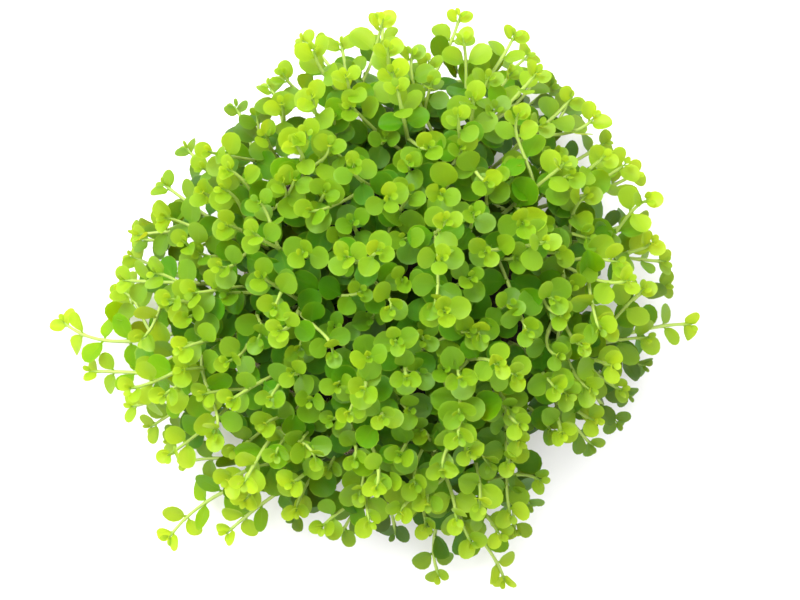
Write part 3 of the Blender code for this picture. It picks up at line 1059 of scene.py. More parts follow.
@dataclass(frozen=True)
class BladeForm:
    """The form of a leaf blade, for many leaves at once. Pairs of numbers are for the youngest and the oldest."""

    mound: Mound
    neck: float = 0.10
    petiole: float = 0.17
    rows: int = 7
    thick: float = 0.12 * MM
    cups: Pair = (0.10, 0.02)
    cup_stray: float = 0.09
    arches: Pair = (-0.05, 0.09)
    arch_stray: float = 0.07
    fold_chance: float = 0.10
    fold: float = 0.14
    twist: float = 0.12
    wave: float = 0.035
    waves: float = 5.0
    widest: Pair = (0.46, 0.56)
    groove: float = 0.05
    ages: Pair = (0.28, 0.60)
    tone_stray: float = 0.22
    # painted shade: how far a leaf's tone deepens where its painted light is low, then the painted light's middle and
    # stray
    painted_shade_tone: float = 1.2
    painted_light_stray: Pair = (0.9, 0.1)

    def surfaces(self, branch: Branch, rng: Generator) -> list[Surface]:
        """The blades of a branch, grouped by the finish that suits their age.

        Args:
            branch: The branch.
            rng: Source of the blades' small differences.

        Returns:
            A surface for each finish.
        """
        kinds = np.digitize([leaf.age for leaf in branch.leaves], self.ages) + Tissue.YOUNG_LEAF.value
        groups = []
        for kind in np.unique(kinds):
            leaves = [leaf for leaf, own in zip(branch.leaves, kinds) if own == kind]
            groups.append(self.blades(leaves, branch.tone, int(kind), rng))
        return groups

    def blades(self, leaves: Sequence[Leaf], tone: float, slot: int, rng: Generator) -> Surface:
        """Closed blades: rings of eight points, five over the top and three below, at stations along the leaf.

        Stations are close at both ends: share = (1 - cos(pi k / rows)) / 2. The quads below start a corner later, so
        that they are split along the same lines as those above and the two never cross. The half width at a share s
        of the blade is sqrt(1 - (2 s^p - 1)^2), an ellipse skewed to its widest place by the power p. The height is
        cup times across squared, plus fold times |across|, plus twist times across times along, less arch times along
        squared, plus a slow wave at the margin, less a groove in the middle.

        Args:
            leaves: The leaves.
            tone: The branch's tone.
            slot: The material slot.
            rng: Source of their small differences.

        Returns:
            One surface.
        """
        count = len(leaves)
        feet = np.array([leaf.foot for leaf in leaves])
        axes = np.array([(leaf.along, leaf.across, leaf.face) for leaf in leaves])
        ages = np.array([leaf.age for leaf in leaves])
        lengths = np.array([leaf.length for leaf in leaves])[:, None, None]
        halves = np.array([leaf.half_width for leaf in leaves])[:, None, None]

        def some(middle: Any, stray: float) -> Array:
            """A number for each leaf, near a middle, in the shape that spreads over its rows and rings."""
            return (middle + rng.uniform(-stray, stray, count))[:, None, None]

        cup = some(np.interp(ages, (0, 1), self.cups), self.cup_stray)
        arch = some(np.interp(ages, (0, 1), self.arches), self.arch_stray)
        fold = some(self.fold, self.fold / 2) * (some(0.5, 0.5) < self.fold_chance)
        twist, phase = some(0, self.twist), some(0, math.pi)
        power = math.log(0.5) / np.log(some(np.mean(self.widest), np.ptp(self.widest) / 2))

        edge = np.array((-1, -0.5, 0, 0.5, 1, 0.5, 0, -0.5))
        under = np.array((0, 0, 0, 0, 0, 1, 1, 1))
        share = (1 - np.cos(math.pi * np.arange(1, self.rows) / self.rows)) / 2
        u = np.concatenate(((0, self.neck), self.neck + (1 - self.neck) * share))[None, :, None]
        blade = np.sqrt(1 - (2 * share[None, :, None] ** power - 1) ** 2)
        width = np.concatenate((np.full((count, 2, 1), self.petiole), np.maximum(blade, self.petiole)), axis=1)
        v = edge * width
        height = cup * v**2 + fold * np.abs(v) + twist * v * u - arch * u**2
        height = height + self.wave * np.sin(self.waves * u + phase + 2 * edge) * edge**2 * np.sin(math.pi * u)
        height = height - self.groove * (edge == 0) * (u > self.neck) * (1 - u)
        height = height * lengths + self.thick / 2 * np.sqrt(1 - edge**2) * (1 - 2 * under)
        local = np.stack(np.broadcast_arrays(u * lengths, v * halves, height), axis=-1)
        points = feet[:, None, None] + np.einsum("nrci,nij->nrcj", local, axes)
        tips = feet + axes[:, 0] * lengths[:, 0] - axes[:, 2] * (arch * lengths)[:, 0]

        ring, stations = len(edge), u.size
        each = stations * ring + 1
        last = np.arange(ring) + (stations - 1) * ring
        quads = ring_faces(stations, ring)[:, ::-1]
        below = np.arange(len(quads)) % ring >= ring // 2
        quads[below] = np.roll(quads[below], 1, axis=1)
        tris = np.concatenate((fan(last, each - 1)[:, ::-1], [(0, k, k + 1) for k in range(1, ring - 1)]))
        starts = (np.arange(count) * each)[:, None, None]
        uv = np.stack(np.broadcast_arrays(u[0], (1 + edge) / 2), axis=-1).reshape(-1, 2)
        growth = np.zeros((count, each, 4))
        growth[..., 0] = ages[:, None]
        # painted shade: leaves deeper in the mound get a deeper, darker tone and less painted light
        light = self.mound.light(feet)
        growth[..., 1] = np.clip(tone + (1 - light[:, None]) * self.painted_shade_tone + some(0, self.tone_stray)[:, 0], 0, 1)
        growth[..., 2] = np.append(np.tile(under, stations), 0)
        growth[..., 3] = light[:, None] * some(*self.painted_light_stray)[:, 0]
        return Surface(
            np.concatenate((points.reshape(count, -1, 3), tips[:, None]), axis=1).reshape(-1, 3),
            (quads + starts).reshape(-1, 4),
            (tris + starts).reshape(-1, 3),
            np.tile(np.concatenate((uv, ((1, 0.5),))), (count, 1)),
            growth.reshape(-1, 4),
            slot,
            np.tile(np.append(np.tile(np.abs(edge) == 1, stations), True), count),
        )


def tube(points: Array, halves: Array, flat: Array, sides: int, growth: Array, slot: int) -> Surface:
    """A round profile carried along a path: point + half (cos first + sin second), closed by a pole at each end.

    Args:
        points: The path.
        halves: The radius at each point.
        flat: A direction that the path is never parallel to.
        sides: How many sides it has.
        growth: What each point of the path tells the material.
        slot: The material slot.

    Returns:
        The tube's surface.
    """
    ahead = unit(np.gradient(points, axis=0))
    first = unit(flat - ahead * (ahead @ flat)[:, None])
    second = np.cross(ahead, first)
    turn = np.arange(sides) * math.tau / sides
    ring = first[:, None] * np.cos(turn)[:, None] + second[:, None] * np.sin(turn)[:, None]
    grid = (points[:, None] + ring * halves[:, None, None]).reshape(-1, 3)
    ends = np.stack((points[0] - ahead[0] * halves[0] / 2, points[-1] + ahead[-1] * halves[-1] / 2))
    start = np.arange(sides)
    end = start + len(grid) - sides
    uv = np.stack(np.broadcast_arrays(np.linspace(0, 1, len(points))[:, None], turn / math.tau), axis=-1)
    return Surface(
        np.concatenate((grid, ends)),
        ring_faces(len(points), sides),
        np.concatenate((fan(start, len(grid))[:, ::-1], fan(end, len(grid) + 1))),
        np.concatenate((uv.reshape(-1, 2), ((0, 0.5), (1, 0.5)))),
        np.concatenate((np.repeat(growth, sides, axis=0), growth[:1], growth[-1:])),
        slot,
    )


@dataclass(frozen=True)
class StemForm:
    """The form of a stem: a tube, slimmer than its solid, that swells at its nodes and tapers to its tip."""

    sides: int = 6
    swelling: float = 0.28
    swelling_reach: float = 0.45 * MM
    share: float = 0.76
    taper: float = 1.6 * MM
    tip_share: float = 0.35
    step: float = 0.8 * MM
    least_steps: int = 6
    oldest: float = 30 * MM
    trunk_sunk: float = 2.5 * MM
    twig_sunk: float = 0.3 * MM

    def surface(self, branch: Branch, sunk: float) -> Surface:
        """A branch's stem.

        Args:
            branch: The branch.
            sunk: How far it runs on past its foot, into what bears it.

        Returns:
            The tube.
        """
        stem = branch.stem
        places = np.linspace(0, stem.length, int(stem.length / self.step) + self.least_steps)
        points = np.stack([np.interp(places, stem.places, axis) for axis in stem.points.T], axis=1)
        halves = self.share * stem.radius(places) * np.interp(places, (0, self.taper), (self.tip_share, 1))
        from_nodes = (places[:, None] - np.array(branch.nodes)[None]) / self.swelling_reach
        halves = halves * (1 + self.swelling * np.exp(-(from_nodes**2)).sum(axis=1))
        points = np.concatenate((points, (points[-1] + unit(points[-1] - points[-2]) * sunk)[None]))
        growth = np.zeros((len(points), 4))
        growth[:, 0] = np.append(places, places[-1]) / self.oldest
        growth[:, 1] = branch.tone
        return tube(points, np.append(halves, halves[-1]), stem.flat, self.sides, growth, Tissue.STEM.value)


@dataclass(frozen=True)
class RootMat:
    """The root pad as seen: dark growing medium in lumps, cut off flat, with pale roots over its side."""

    shape: PadShape
    around: int = 168
    down: int = 64
    lump_sizes: tuple[float, ...] = (9 * MM, 3.6 * MM, 1.5 * MM)
    lump_heights: tuple[float, ...] = (0.55 * MM, 0.35 * MM, 0.22 * MM)
    sink: float = 0.9 * MM
    lump_fade: float = 2 * MM
    side_power: int = 6
    side_tilt: float = 0.95
    cut_rings: int = 12
    roots: int = 230
    root_steps: int = 16
    root_sides: int = 5
    root_lengths: Pair = (7 * MM, 24 * MM)
    root_halves: Pair = (0.07 * MM, 0.16 * MM)
    root_taper: float = 0.55
    root_flat: Triple = (0.31, 0.12, 1.0)
    starts: Pair = (0.55, 0.93)
    descents: Pair = (0.4, 1.25)
    lowest_run: float = 0.985
    wander: float = 0.5
    bends: Pair = (0.25, 0.12)
    run_bend: float = 0.01
    sunk: Pair = (0.55, 0.5)
    # Sine waves along a root: radians from one end to the other, and how far its strays shift them
    slow_wave: Pair = (5, 6)
    fast_wave: Pair = (13, 9)
    run_wave: Pair = (9, 5)
    depth_wave: Pair = (7, 9)
    seed: int = 11

    def place(self, turn: Array, run: Array) -> tuple[Array, Array]:
        """Points on the pad, and which way is out. The run goes from 0 in the middle of the top to 1 at the cut.

        The point's share of the radius is sin(run pi / 2), its height is the shoulder's there, and lumps are added
        outwards, fading to nothing at the cut.

        Args:
            turn: Bearings.
            run: How far from the middle of the top.

        Returns:
            Points and outward directions.
        """
        share = np.minimum(1, np.sin(run * math.pi / 2))
        radius = share * self.shape.radius_at(turn)
        height = self.shape.top_at(share)
        plain = np.stack((radius * np.cos(turn), radius * np.sin(turn), height), axis=-1)
        steep = share**self.side_power
        out = unit(np.stack((np.cos(turn) * steep, np.sin(turn) * steep, 1 - steep * self.side_tilt), axis=-1))
        lumps = sum(
            tall * ripples(plain, size, self.seed + number)
            for number, (size, tall) in enumerate(zip(self.lump_sizes, self.lump_heights))
        )
        rise = (lumps - self.sink) * np.minimum(1, height / self.lump_fade)
        return plain + out * rise[..., None], out

    def soil(self) -> Surface:
        """The medium: rings from the middle of the top down to the cut, and the flat cut with its own rings.

        Returns:
            The surface.
        """
        turn = np.arange(self.around) * math.tau / self.around
        run = np.linspace(0, 1, self.down + 1)[1:]
        grid, _ = self.place(*np.meshgrid(turn, run))
        cut = grid[-1:] * np.array((1, 1, 0)) * np.linspace(1, 0, self.cut_rings + 2)[1:-1, None, None]
        rings = np.concatenate((grid, cut))
        rows = len(rings)
        top = self.place(np.zeros(1), np.zeros(1))[0]
        points = np.concatenate((rings.reshape(-1, 3), top, np.zeros((1, 3))))
        first = np.arange(self.around)
        last = first + (rows - 1) * self.around
        growth = np.zeros((len(points), 4))
        growth[:, 0] = points[:, 2] / self.shape.height
        growth[len(grid) * self.around : -2, 2] = 1
        growth[-1, 2] = 1
        return Surface(
            points,
            ring_faces(rows, self.around)[:, ::-1],
            np.concatenate((fan(first, len(points) - 2), fan(last, len(points) - 1)[:, ::-1])),
            points[:, :2] / self.shape.radius / 2 + 0.5,
            growth,
            Mat.SOIL.value,
        )

    def strands(self) -> list[Surface]:
        """Roots over the side, each from its own draws."""
        rng = np.random.default_rng(self.seed)
        return [self.strand(rng) for _ in range(self.roots)]

    def strand(self, rng: Generator) -> Surface:
        """A root: a tapered tube, half sunk in the side, from under the crown down towards the cut.

        Its bearing drifts by a straight line and two sine waves, its run and its depth by one sine wave each.

        Args:
            rng: Source of its sizes and bends.

        Returns:
            The tube.
        """
        half = rng.uniform(*self.root_halves)
        length = rng.uniform(*self.root_lengths)
        step = np.linspace(0, 1, self.root_steps)
        wander = rng.normal(0, self.wander, 3)

        def wave(shape: Pair, stray: float) -> Array:
            """A sine wave along the root, shifted by one of its strays."""
            return np.sin(step * shape[0] + stray * shape[1])

        slow = self.bends[0] * wander[1] * wave(self.slow_wave, wander[2])
        drift = wander[0] * step + slow + self.bends[1] * wave(self.fast_wave, wander[1])
        turn = rng.uniform(0, math.tau) + drift * length / self.shape.radius
        start = rng.uniform(*self.starts)
        run = start + step * (1 - start) * rng.uniform(*self.descents)
        run = np.minimum(self.lowest_run, run + self.run_bend * wave(self.run_wave, wander[2]))
        points, out = self.place(turn, run)
        sunk = self.sunk[0] + self.sunk[1] * wave(self.depth_wave, wander[0])
        points = points + out * (half * sunk)[:, None]
        points[:, 2] = np.maximum(points[:, 2], half)
        growth = np.zeros((self.root_steps, 4))
        growth[:, 0] = step
        growth[:, 1] = rng.uniform()
        halves, flat = half * (1 - self.root_taper * step), unit(np.array(self.root_flat))
        return tube(points, halves, flat, self.root_sides, growth, Mat.ROOT.value)


class Socket:
    """A node's output. Python's operators on it add Math nodes."""

    def __init__(self, nodes: Nodes, output: bpy.types.NodeSocket) -> None:
        """Keeps the output and the tree it is in."""
        self.nodes = nodes
        self.output = output

    def math(self, operation: str, *values: Any) -> Socket:
        """A Math node on this and other values."""
        return self.nodes.add("ShaderNodeMath", {"operation": operation}, [self, *values])

    def __add__(self, other: Any) -> Socket:
        """Sum."""
        return self.math("ADD", other)

    __radd__ = __add__

    def __sub__(self, other: Any) -> Socket:
        """Difference."""
        return self.math("SUBTRACT", other)

    def __rsub__(self, other: Any) -> Socket:
        """Difference from a number."""
        return self.nodes.add("ShaderNodeMath", {"operation": "SUBTRACT"}, [other, self])

    def __mul__(self, other: Any) -> Socket:
        """Product."""
        return self.math("MULTIPLY", other)

    __rmul__ = __mul__

    def __abs__(self) -> Socket:
        """Distance from zero."""
        return self.math("ABSOLUTE")

    def ramp(self, low: float, high: float) -> Socket:
        """A smooth step: 0 up to low, 1 from high on."""
        return self.nodes.add("ShaderNodeMapRange", {"interpolation_type": "SMOOTHSTEP"}, [self, low, high])


class Nodes:
    """A material's node tree, with one method that adds any node."""

    def __init__(self, name: str) -> None:
        """Makes the material and empties its tree.

        Args:
            name: The material's name.
        """
        self.material = bpy.data.materials.new(name)
        self.material.use_nodes = True
        self.tree = self.material.node_tree
        self.tree.nodes.clear()

    def add(self, kind: str, settings: dict[str, Any], values: Any, output: int | str = 0) -> Socket:
        """Adds a node: its type, its settings first, then the values or links of its sockets.

        Args:
            kind: The node's type.
            settings: Attributes set before the sockets.
            values: A list by order, or a dict by socket name or number.
            output: Which output to return.

        Returns:
            The output.
        """
        node = self.tree.nodes.new(kind)
        for name, value in settings.items():
            setattr(node, name, value)
        for key, value in values.items() if isinstance(values, dict) else enumerate(values):
            socket = node.inputs[key]
            if isinstance(value, Socket):
                self.tree.links.new(value.output, socket)
            else:
                socket.default_value = (*value, 1) if socket.type == "RGBA" else value
        return Socket(self, node.outputs[output]) if node.outputs else None

    def place(self) -> Socket:
        """Object coordinates."""
        return self.add("ShaderNodeTexCoord", {}, [], "Object")

    def noise(self, scale: float, detail: float = 3.0, roughness: float = 0.5) -> Socket:
        """Noise about 0.5 over Object coordinates. Its scale is in cells per metre."""
        values = {"Vector": self.place(), "Scale": scale, "Detail": detail, "Roughness": roughness}
        return self.add("ShaderNodeTexNoise", {}, values)

    def cells(self, scale: float) -> Socket:
        """Distance to the nearest middle in a Voronoi pattern over Object coordinates."""
        return self.add("ShaderNodeTexVoronoi", {}, {"Vector": self.place(), "Scale": scale}, "Distance")

    def split(self, vector: Socket) -> list[Socket]:
        """The three parts of a vector or colour."""
        node = self.add("ShaderNodeSeparateXYZ", {}, [vector]).output.node
        return [Socket(self, output) for output in node.outputs]

    def growth(self) -> list[Socket]:
        """What a point says of its age, its tone (partly painted shade), its underside, and its painted light."""
        colour = self.add("ShaderNodeAttribute", {"attribute_name": "growth"}, [], "Color")
        return self.split(colour) + [Socket(self, colour.output.node.outputs["Alpha"])]

    def blade(self) -> list[Socket]:
        """Place along and across, from the piece's own UV map."""
        return self.split(self.add("ShaderNodeUVMap", {"uv_map": "blade"}, []))[:2]

    def mix(self, share: Any, first: Any, second: Any) -> Socket:
        """Two colours mixed. On this node sockets 6 and 7 and output 2 are the ones for colours."""
        return self.add("ShaderNodeMix", {"data_type": "RGBA"}, {0: share, 6: first, 7: second}, 2)

    def shade(self, colour: Socket, share: Any) -> Socket:
        """A colour made darker or lighter by a factor."""
        return self.add("ShaderNodeVectorMath", {"operation": "SCALE"}, {0: colour, "Scale": share})

    def surface(self, colour: Any, roughness: Any, height: Socket, depth: float, gloss: float) -> Socket:
        """A Principled shader.

        Args:
            colour: Its base colour.
            roughness: Its roughness.
            height: Relief, from 0 to 1.
            depth: How deep the relief is, in metres.
            gloss: Its specular level.

        Returns:
            The shader.
        """
        normal = self.add("ShaderNodeBump", {}, {"Strength": 1.0, "Distance": depth, "Height": height}, "Normal")
        values = {"Base Color": colour, "Roughness": roughness, "Specular IOR Level": gloss, "Normal": normal}
        return self.add("ShaderNodeBsdfPrincipled", {}, values)

    def lit_through(self, shader: Socket, glow: Colour, share: Any) -> Socket:
        """A shader of which a share lets light through in a colour."""
        through = self.add("ShaderNodeBsdfTranslucent", {}, {"Color": glow})
        return self.add("ShaderNodeMixShader", {}, {0: share, 1: shader, 2: through})

    def finish(self, shader: Socket) -> Material:
        """Links the shader to the output. Returns the material."""
        self.add("ShaderNodeOutputMaterial", {}, {"Surface": shader})
        return self.material


@dataclass(frozen=True)
class LeafFinish:
    """Leaf skin: two greens by the branch's tone and by painted shade, darkened as painted shade where painted light is
    low, mottled, with a paler rib, a painted highlight on the rim, painted shade near the foot and a greyer underside.

    A mark's pair of numbers says where its smooth step starts and ends: off from 0 at the midrib to 1 at the margin,
    along from 0 at the leaf's foot to 1 at its tip.
    """

    name: str
    # the fresh green where the tone is light and painted light is full, and the deep green for deep tone and for
    # painted shade
    fresh_and_lit: Colour
    deep_and_shaded: Colour
    glow: Colour
    through: float
    gloss: float
    # the pale green of the rib and veins, also painted on the rim as a highlight
    pale_rib_and_highlight: Colour = (0.36, 0.56, 0.03)
    under: Colour = (0.19, 0.31, 0.05)
    mottle_scale: float = 900
    grain_scale: float = 5200
    rib_off: Pair = (0.11, 0.02)
    rib_along: Pair = (0.95, 0.25)
    rib_share: float = 0.22
    vein_turns: Pair = (7, 2.4)
    vein_crest: Pair = (0.78, 1.0)
    vein_outer: Pair = (0.95, 0.6)
    vein_inner: Pair = (0.05, 0.2)
    vein_share: float = 0.04
    # painted highlight on the rim: where it starts across and along the leaf, and how far it pulls to the pale green
    rim_highlight_off: Pair = (0.89, 0.99)
    rim_highlight_along: Pair = (0.12, 0.3)
    rim_highlight_share: float = 0.55
    # painted shade near the leaf's foot: where it ends along the leaf, and how far it pulls to the deep green
    neck_shade_along: Pair = (0.30, 0.04)
    neck_shade_share: float = 0.35
    under_share: float = 0.6
    tone_share: float = 0.55
    # painted shade: how far a lack of painted light pulls the green to the deep green, the share of colour left with no
    # painted light, and how deep tone darkens lit leaves
    painted_shade_share: float = 0.6
    least_painted_light: float = 0.16
    tone_dimming: float = 0.18
    speckle: Triple = (0.90, 0.16, 0.08)  # without any, by mottle and by grain
    relief: tuple[float, ...] = (0.7, -0.15, 0.18, 0.3)  # beside the rib, on veins, by grain and by mottle
    depth: float = 0.05 * MM
    rough: Triple = (0.46, 0.2, 0.2)  # at mid mottle, more by mottle, more on the underside
    # painted shade on translucency: the share let through with no painted light, and less for deep tone
    least_through: float = 0.4
    tone_through: float = 0.25

    def make(self) -> Material:
        """Builds the material.

        Returns:
            The material.
        """
        nodes = Nodes(self.name)
        along, across = nodes.blade()
        _, tone, underside, light = nodes.growth()
        off = abs(across - 0.5) * 2
        mottle = nodes.noise(self.mottle_scale)
        grain = nodes.noise(self.grain_scale, detail=2)
        rib = off.ramp(*self.rib_off) * along.ramp(*self.rib_along)
        phase = (along * self.vein_turns[0] - off * self.vein_turns[1]) * math.tau
        veins = phase.math("SINE").ramp(*self.vein_crest) * off.ramp(*self.vein_outer) * off.ramp(*self.vein_inner)
        # painted highlight: the margin lightens towards the pale green
        rim = off.ramp(*self.rim_highlight_off) * along.ramp(*self.rim_highlight_along)
        neck = along.ramp(*self.neck_shade_along)
        # painted shade: the green deepens by the tone and by a lack of painted light
        green = nodes.mix(tone * self.tone_share + (1 - light) * self.painted_shade_share, self.fresh_and_lit, self.deep_and_shaded)
        # painted shade: the green deepens towards the leaf's foot, where it meets the stem
        green = nodes.mix(neck * self.neck_shade_share, green, self.deep_and_shaded)
        # the rib and veins are paler, and the rim gets the painted highlight
        marks_and_highlight = rib * self.rib_share + veins * self.vein_share + rim * self.rim_highlight_share
        green = nodes.mix(marks_and_highlight, green, self.pale_rib_and_highlight)
        green = nodes.mix(underside * self.under_share, green, self.under)
        # painted shade: the colour is darkened where painted light is low, and lit leaves of deep tone a little more
        painted_light = (light * (1 - self.least_painted_light) + self.least_painted_light) * (1 - tone * light * self.tone_dimming)
        plain, by_mottle, by_grain = self.speckle
        green = nodes.shade(green, (plain + mottle * by_mottle + grain * by_grain) * painted_light)
        flat, vein, fine, coarse = self.relief
        relief = (1 - rib) * flat + veins * vein + grain * fine + mottle * coarse
        rough = self.rough[0] + (mottle - 0.5) * self.rough[1] + underside * self.rough[2]
        shader = nodes.surface(green, rough, relief, self.depth, self.gloss)
        # painted shade on translucency: less light is let through where painted light is low or the tone is deep
        through = light * (1 - self.least_through) + self.least_through
        through = through * (1 - tone * self.tone_through) * self.through
        return nodes.finish(nodes.lit_through(shader, self.glow, through))


LEAF_FINISHES = (
    LeafFinish("young_leaf", (0.256, 0.455, 0.014), (0.068, 0.31, 0.001), (0.93, 0.96, 0.15), through=0.60, gloss=0.36),
    LeafFinish("leaf", (0.130, 0.38, 0.002), (0.047, 0.28, 0.001), (0.90, 0.88, 0.03), through=0.50, gloss=0.16),
    LeafFinish("old_leaf", (0.112, 0.31, 0.001), (0.032, 0.22, 0.001), (0.86, 0.78, 0.02), through=0.44, gloss=0.03),
)


@dataclass(frozen=True)
class StemFinish:
    """Stem skin: yellow-green and glossy near the tip, paler and browner with age, finely ribbed."""

    name: str = "stem_skin"
    tip: Colour = (0.22, 0.38, 0.03)
    young: Colour = (0.42, 0.56, 0.11)
    old: Colour = (0.30, 0.40, 0.11)
    woody: Colour = (0.27, 0.25, 0.12)
    glow: Colour = (0.55, 0.75, 0.12)
    blotch_scale: float = 420
    grain_scale: float = 3800
    ribs: int = 8
    old_ages: Pair = (0.1, 0.9)
    tip_ages: Pair = (0.07, 0.01)
    woody_ages: Pair = (0.3, 1.0)
    woody_blotches: Pair = (0.56, 0.72)
    woody_share: float = 0.6
    speckle: Triple = (0.84, 0.16, 0.14)  # without any, by grain and by tone
    relief: Pair = (0.4, 0.6)  # by ribs and by grain
    depth: float = 0.04 * MM
    rough: Pair = (0.38, 0.2)  # without blotches, more by blotches
    gloss: float = 0.4
    through: float = 0.2

    def make(self) -> Material:
        """Builds the material.

        Returns:
            The material.
        """
        nodes = Nodes(self.name)
        _, around = nodes.blade()
        age, tone, _, _ = nodes.growth()
        blotch = nodes.noise(self.blotch_scale)
        grain = nodes.noise(self.grain_scale, detail=2)
        ribs = (around * (self.ribs * math.tau)).math("SINE") * 0.5 + 0.5
        skin = nodes.mix(age.ramp(*self.old_ages), self.young, self.old)
        skin = nodes.mix(age.ramp(*self.tip_ages), skin, self.tip)
        woody = blotch.ramp(*self.woody_blotches) * age.ramp(*self.woody_ages) * self.woody_share
        skin = nodes.mix(woody, skin, self.woody)
        plain, by_grain, by_tone = self.speckle
        skin = nodes.shade(skin, plain + grain * by_grain + tone * by_tone)
        relief = ribs * self.relief[0] + grain * self.relief[1]
        shader = nodes.surface(skin, self.rough[0] + blotch * self.rough[1], relief, self.depth, self.gloss)
        return nodes.finish(nodes.lit_through(shader, self.glow, self.through))


@dataclass(frozen=True)
class SoilFinish:
    """Growing medium: near-black crumbs with brown fibre, and pale cut roots where it was cut off."""

    name: str = "root_pad_soil"
    dark: Colour = (0.008, 0.006, 0.005)
    brown: Colour = (0.055, 0.034, 0.018)
    fibre: Colour = (0.22, 0.16, 0.09)
    cut_root: Colour = (0.50, 0.43, 0.28)
    clod_scale: float = 320
    clod_edge: Pair = (0.4, 0.7)
    crumb_scale: float = 1500
    thread_scale: float = 260
    thread_edge: Pair = (0.012, 0.003)
    thread_share: float = 0.4
    tangle_scale: float = 480
    tangle_edge: Pair = (0.48, 0.6)
    end_scale: float = 900
    end_edge: Pair = (0.26, 0.18)
    end_share: float = 0.9
    bundle_scale: float = 500
    bundle_edge: Pair = (0.42, 0.52)
    # painted shade: the soil darkens from a crumb's middle towards the crevices between crumbs
    speckle: Pair = (1.15, 0.5)  # in the middle of a crumb, less by the distance from it
    relief: Triple = (0.5, 0.5, 0.3)  # by crumbs, by clods and by threads
    depth: float = 0.3 * MM
    rough: Pair = (0.82, 0.15)  # without clods, more by clods
    gloss: float = 0.25

    def make(self) -> Material:
        """Builds the material.

        Returns:
            The material.
        """
        nodes = Nodes(self.name)
        _, _, cut, _ = nodes.growth()
        clods = nodes.noise(self.clod_scale, detail=4, roughness=0.6)
        crumbs = nodes.cells(self.crumb_scale)
        wander = nodes.noise(self.thread_scale, detail=5, roughness=0.6)
        tangles = nodes.noise(self.tangle_scale).ramp(*self.tangle_edge)
        threads = abs(wander - 0.5).ramp(*self.thread_edge) * tangles
        bundles = nodes.noise(self.bundle_scale, detail=1).ramp(*self.bundle_edge)
        ends = nodes.cells(self.end_scale).ramp(*self.end_edge) * bundles
        soil = nodes.mix(clods.ramp(*self.clod_edge), self.dark, self.brown)
        soil = nodes.mix(threads * self.thread_share, soil, self.fibre)
        soil = nodes.mix(ends * cut * self.end_share, soil, self.cut_root)
        # painted shade in the crevices between crumbs
        soil = nodes.shade(soil, self.speckle[0] - crumbs * self.speckle[1])
        by_crumbs, by_clods, by_threads = self.relief
        relief = (1 - crumbs) * by_crumbs + clods * by_clods + threads * by_threads
        rough = self.rough[0] + clods * self.rough[1]
        return nodes.finish(nodes.surface(soil, rough, relief, self.depth, self.gloss))


@dataclass(frozen=True)
class RootFinish:
    """Roots: off-white when young, tan when older, with clinging dirt."""

    name: str = "root_skin"
    white: Colour = (0.58, 0.52, 0.36)
    tan: Colour = (0.30, 0.21, 0.11)
    dirt: Colour = (0.05, 0.032, 0.018)
    dirt_scale: float = 700
    dirt_edge: Pair = (0.48, 0.62)
    dirt_share: float = 0.85
    depth: float = 0.06 * MM
    rough: Pair = (0.6, 0.3)  # without dirt, more by dirt
    gloss: float = 0.3

    def make(self) -> Material:
        """Builds the material.

        Returns:
            The material.
        """
        nodes = Nodes(self.name)
        _, tone, _, _ = nodes.growth()
        dirt = nodes.noise(self.dirt_scale, detail=4, roughness=0.65)
        skin = nodes.mix(tone, self.white, self.tan)
        skin = nodes.mix(dirt.ramp(*self.dirt_edge) * self.dirt_share, skin, self.dirt)
        rough = self.rough[0] + dirt * self.rough[1]
        return nodes.finish(nodes.surface(skin, rough, dirt, self.depth, self.gloss))


@dataclass(frozen=True)
class FloorFinish:
    """The studio's white sweep, matt with the faintest grain."""

    name: str = "white_floor"
    bright: Colour = (0.93, 0.925, 0.935)
    dim: Colour = (0.91, 0.905, 0.915)
    grain_scale: float = 160
    depth: float = 0.02 * MM
    rough: float = 0.7
    gloss: float = 0.1

    def make(self) -> Material:
        """Builds the material.

        Returns:
            The material.
        """
        nodes = Nodes(self.name)
        grain = nodes.noise(self.grain_scale)
        white = nodes.mix(grain, self.dim, self.bright)
        return nodes.finish(nodes.surface(white, self.rough, grain, self.depth, self.gloss))


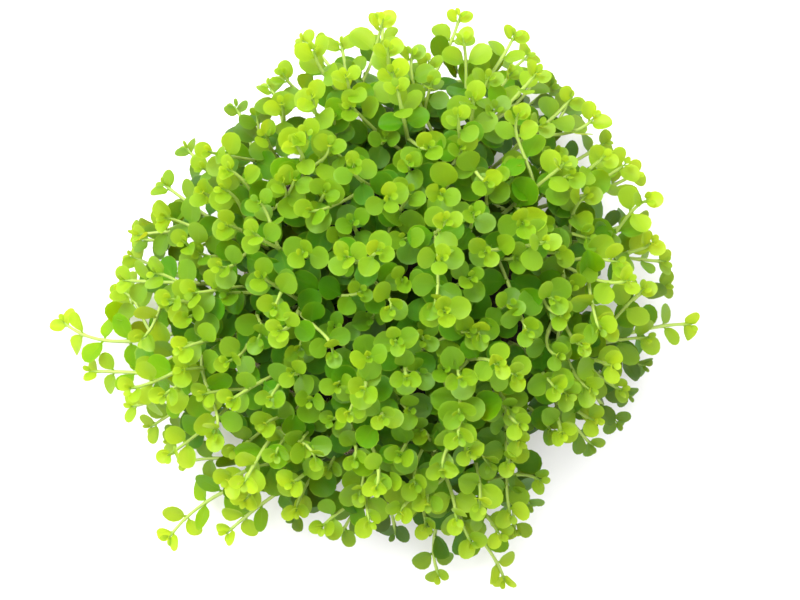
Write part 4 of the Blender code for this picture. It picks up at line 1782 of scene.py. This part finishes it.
@dataclass(frozen=True)
class Studio:
    """A white floor, soft light from the upper left, and a camera straight above, as in the photograph."""

    view_width: float = 128 * MM
    view_height: float = 10 * MM
    camera_distance: float = 400 * MM
    sensor: float = 36.0
    clip_start: float = 10 * MM
    floor_half: float = 900 * MM
    floor_drop: float = 0.02 * MM
    sky: Colour = (1.0, 1.0, 1.0)
    sky_strength: float = 1.6
    key_place: Triple = (-300 * MM, 420 * MM, 700 * MM)
    key_size: float = 600 * MM
    key_watts: float = 11.5

    def camera(self) -> None:
        """Looks straight down at the clump's middle, with the photograph's scale at the height of its rim."""
        data = bpy.data.cameras.new("camera")
        data.sensor_width = self.sensor
        data.lens = self.sensor * self.camera_distance / self.view_width
        data.clip_start = self.clip_start
        camera = bpy.data.objects.new("camera", data)
        camera.location = (0, 0, self.view_height + self.camera_distance)
        bpy.context.scene.collection.objects.link(camera)
        bpy.context.scene.camera = camera

    def lights(self) -> None:
        """One large soft lamp, and an even white sky."""
        lamp = bpy.data.lights.new("key", "AREA")
        lamp.shape = "DISK"
        lamp.size = self.key_size
        lamp.energy = self.key_watts
        key = bpy.data.objects.new("key", lamp)
        key.location = self.key_place
        away = unit(np.array(self.key_place))
        key.rotation_euler = (math.acos(away[2]), 0, math.atan2(away[1], away[0]) + math.pi / 2)
        bpy.context.scene.collection.objects.link(key)
        world = bpy.data.worlds.new("sky")
        world.use_nodes = True
        sky = world.node_tree.nodes["Background"]
        sky.inputs["Color"].default_value = (*self.sky, 1)
        sky.inputs["Strength"].default_value = self.sky_strength
        bpy.context.scene.world = world
        bpy.context.scene.view_settings.view_transform = "Standard"

    def floor(self, material: Material) -> None:
        """The surface that the clump stands on, a hair below the cut so that the two don't share a plane.

        Args:
            material: Its finish.
        """
        mesh = bpy.data.meshes.new("floor")
        corners = np.array(((-1, -1, 0), (1, -1, 0), (1, 1, 0), (-1, 1, 0))) * self.floor_half
        mesh.from_pydata(corners - (0, 0, self.floor_drop), [], [(0, 1, 2, 3)])
        mesh.materials.append(material)
        floor = bpy.data.objects.new("floor", mesh)
        bpy.context.scene.collection.objects.link(floor)
        floor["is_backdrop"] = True


class Clump:
    """The whole plant, piece by piece."""

    def __init__(self) -> None:
        """Sets the sizes that all sub-assemblies share, and makes the finishes."""
        self.pad = PadShape()
        self.mound = Mound()
        self.habit = Habit()
        self.blade = BladeForm(self.mound)
        self.stem = StemForm()
        self.leafy = [finish.make() for finish in (StemFinish(), *LEAF_FINISHES)]

    def dress(self, piece: bpy.types.Object, node: str) -> None:
        """Makes a piece stand for its CAD node.

        Args:
            piece: The piece.
            node: The node's name.
        """
        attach(piece, BODY)
        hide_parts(node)
        LOG.info("%s: %d faces in place of %s", piece.name, len(piece.data.polygons), node)

    def shoots(self) -> None:
        """Builds every main shoot with its twigs and leaves."""
        thicket = Thicket(self.habit, TwigHabit(), self.pad, self.mound, MainShoots())
        rng = self.habit.draws(Draw.BLADES)
        for shoot in thicket.grow():
            parts = [self.stem.surface(shoot.trunk, self.stem.trunk_sunk)]
            parts += [self.stem.surface(twig, self.stem.twig_sunk) for twig in shoot.twigs]
            for branch in (shoot.trunk, *shoot.twigs):
                parts += self.blade.surfaces(branch, rng)
            piece = make_piece(shoot.plan.name.replace("shoot", "sprig"), parts, self.leafy)
            self.dress(piece, shoot.plan.name)

    def root_mat(self) -> None:
        """Builds the root pad."""
        mat = RootMat(self.pad)
        piece = make_piece("root_mat", [mat.soil(), *mat.strands()], [SoilFinish().make(), RootFinish().make()])
        self.dress(piece, "root_pad")


def main() -> None:
    """Builds the clump and the studio."""
    logging.basicConfig(level=logging.INFO, format="%(name)s: %(message)s")
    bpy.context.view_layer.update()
    studio = Studio()
    studio.camera()
    studio.lights()
    studio.floor(FloorFinish().make())
    clump = Clump()
    clump.shoots()
    clump.root_mat()
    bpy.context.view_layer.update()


if __name__ == "__main__":
    main()
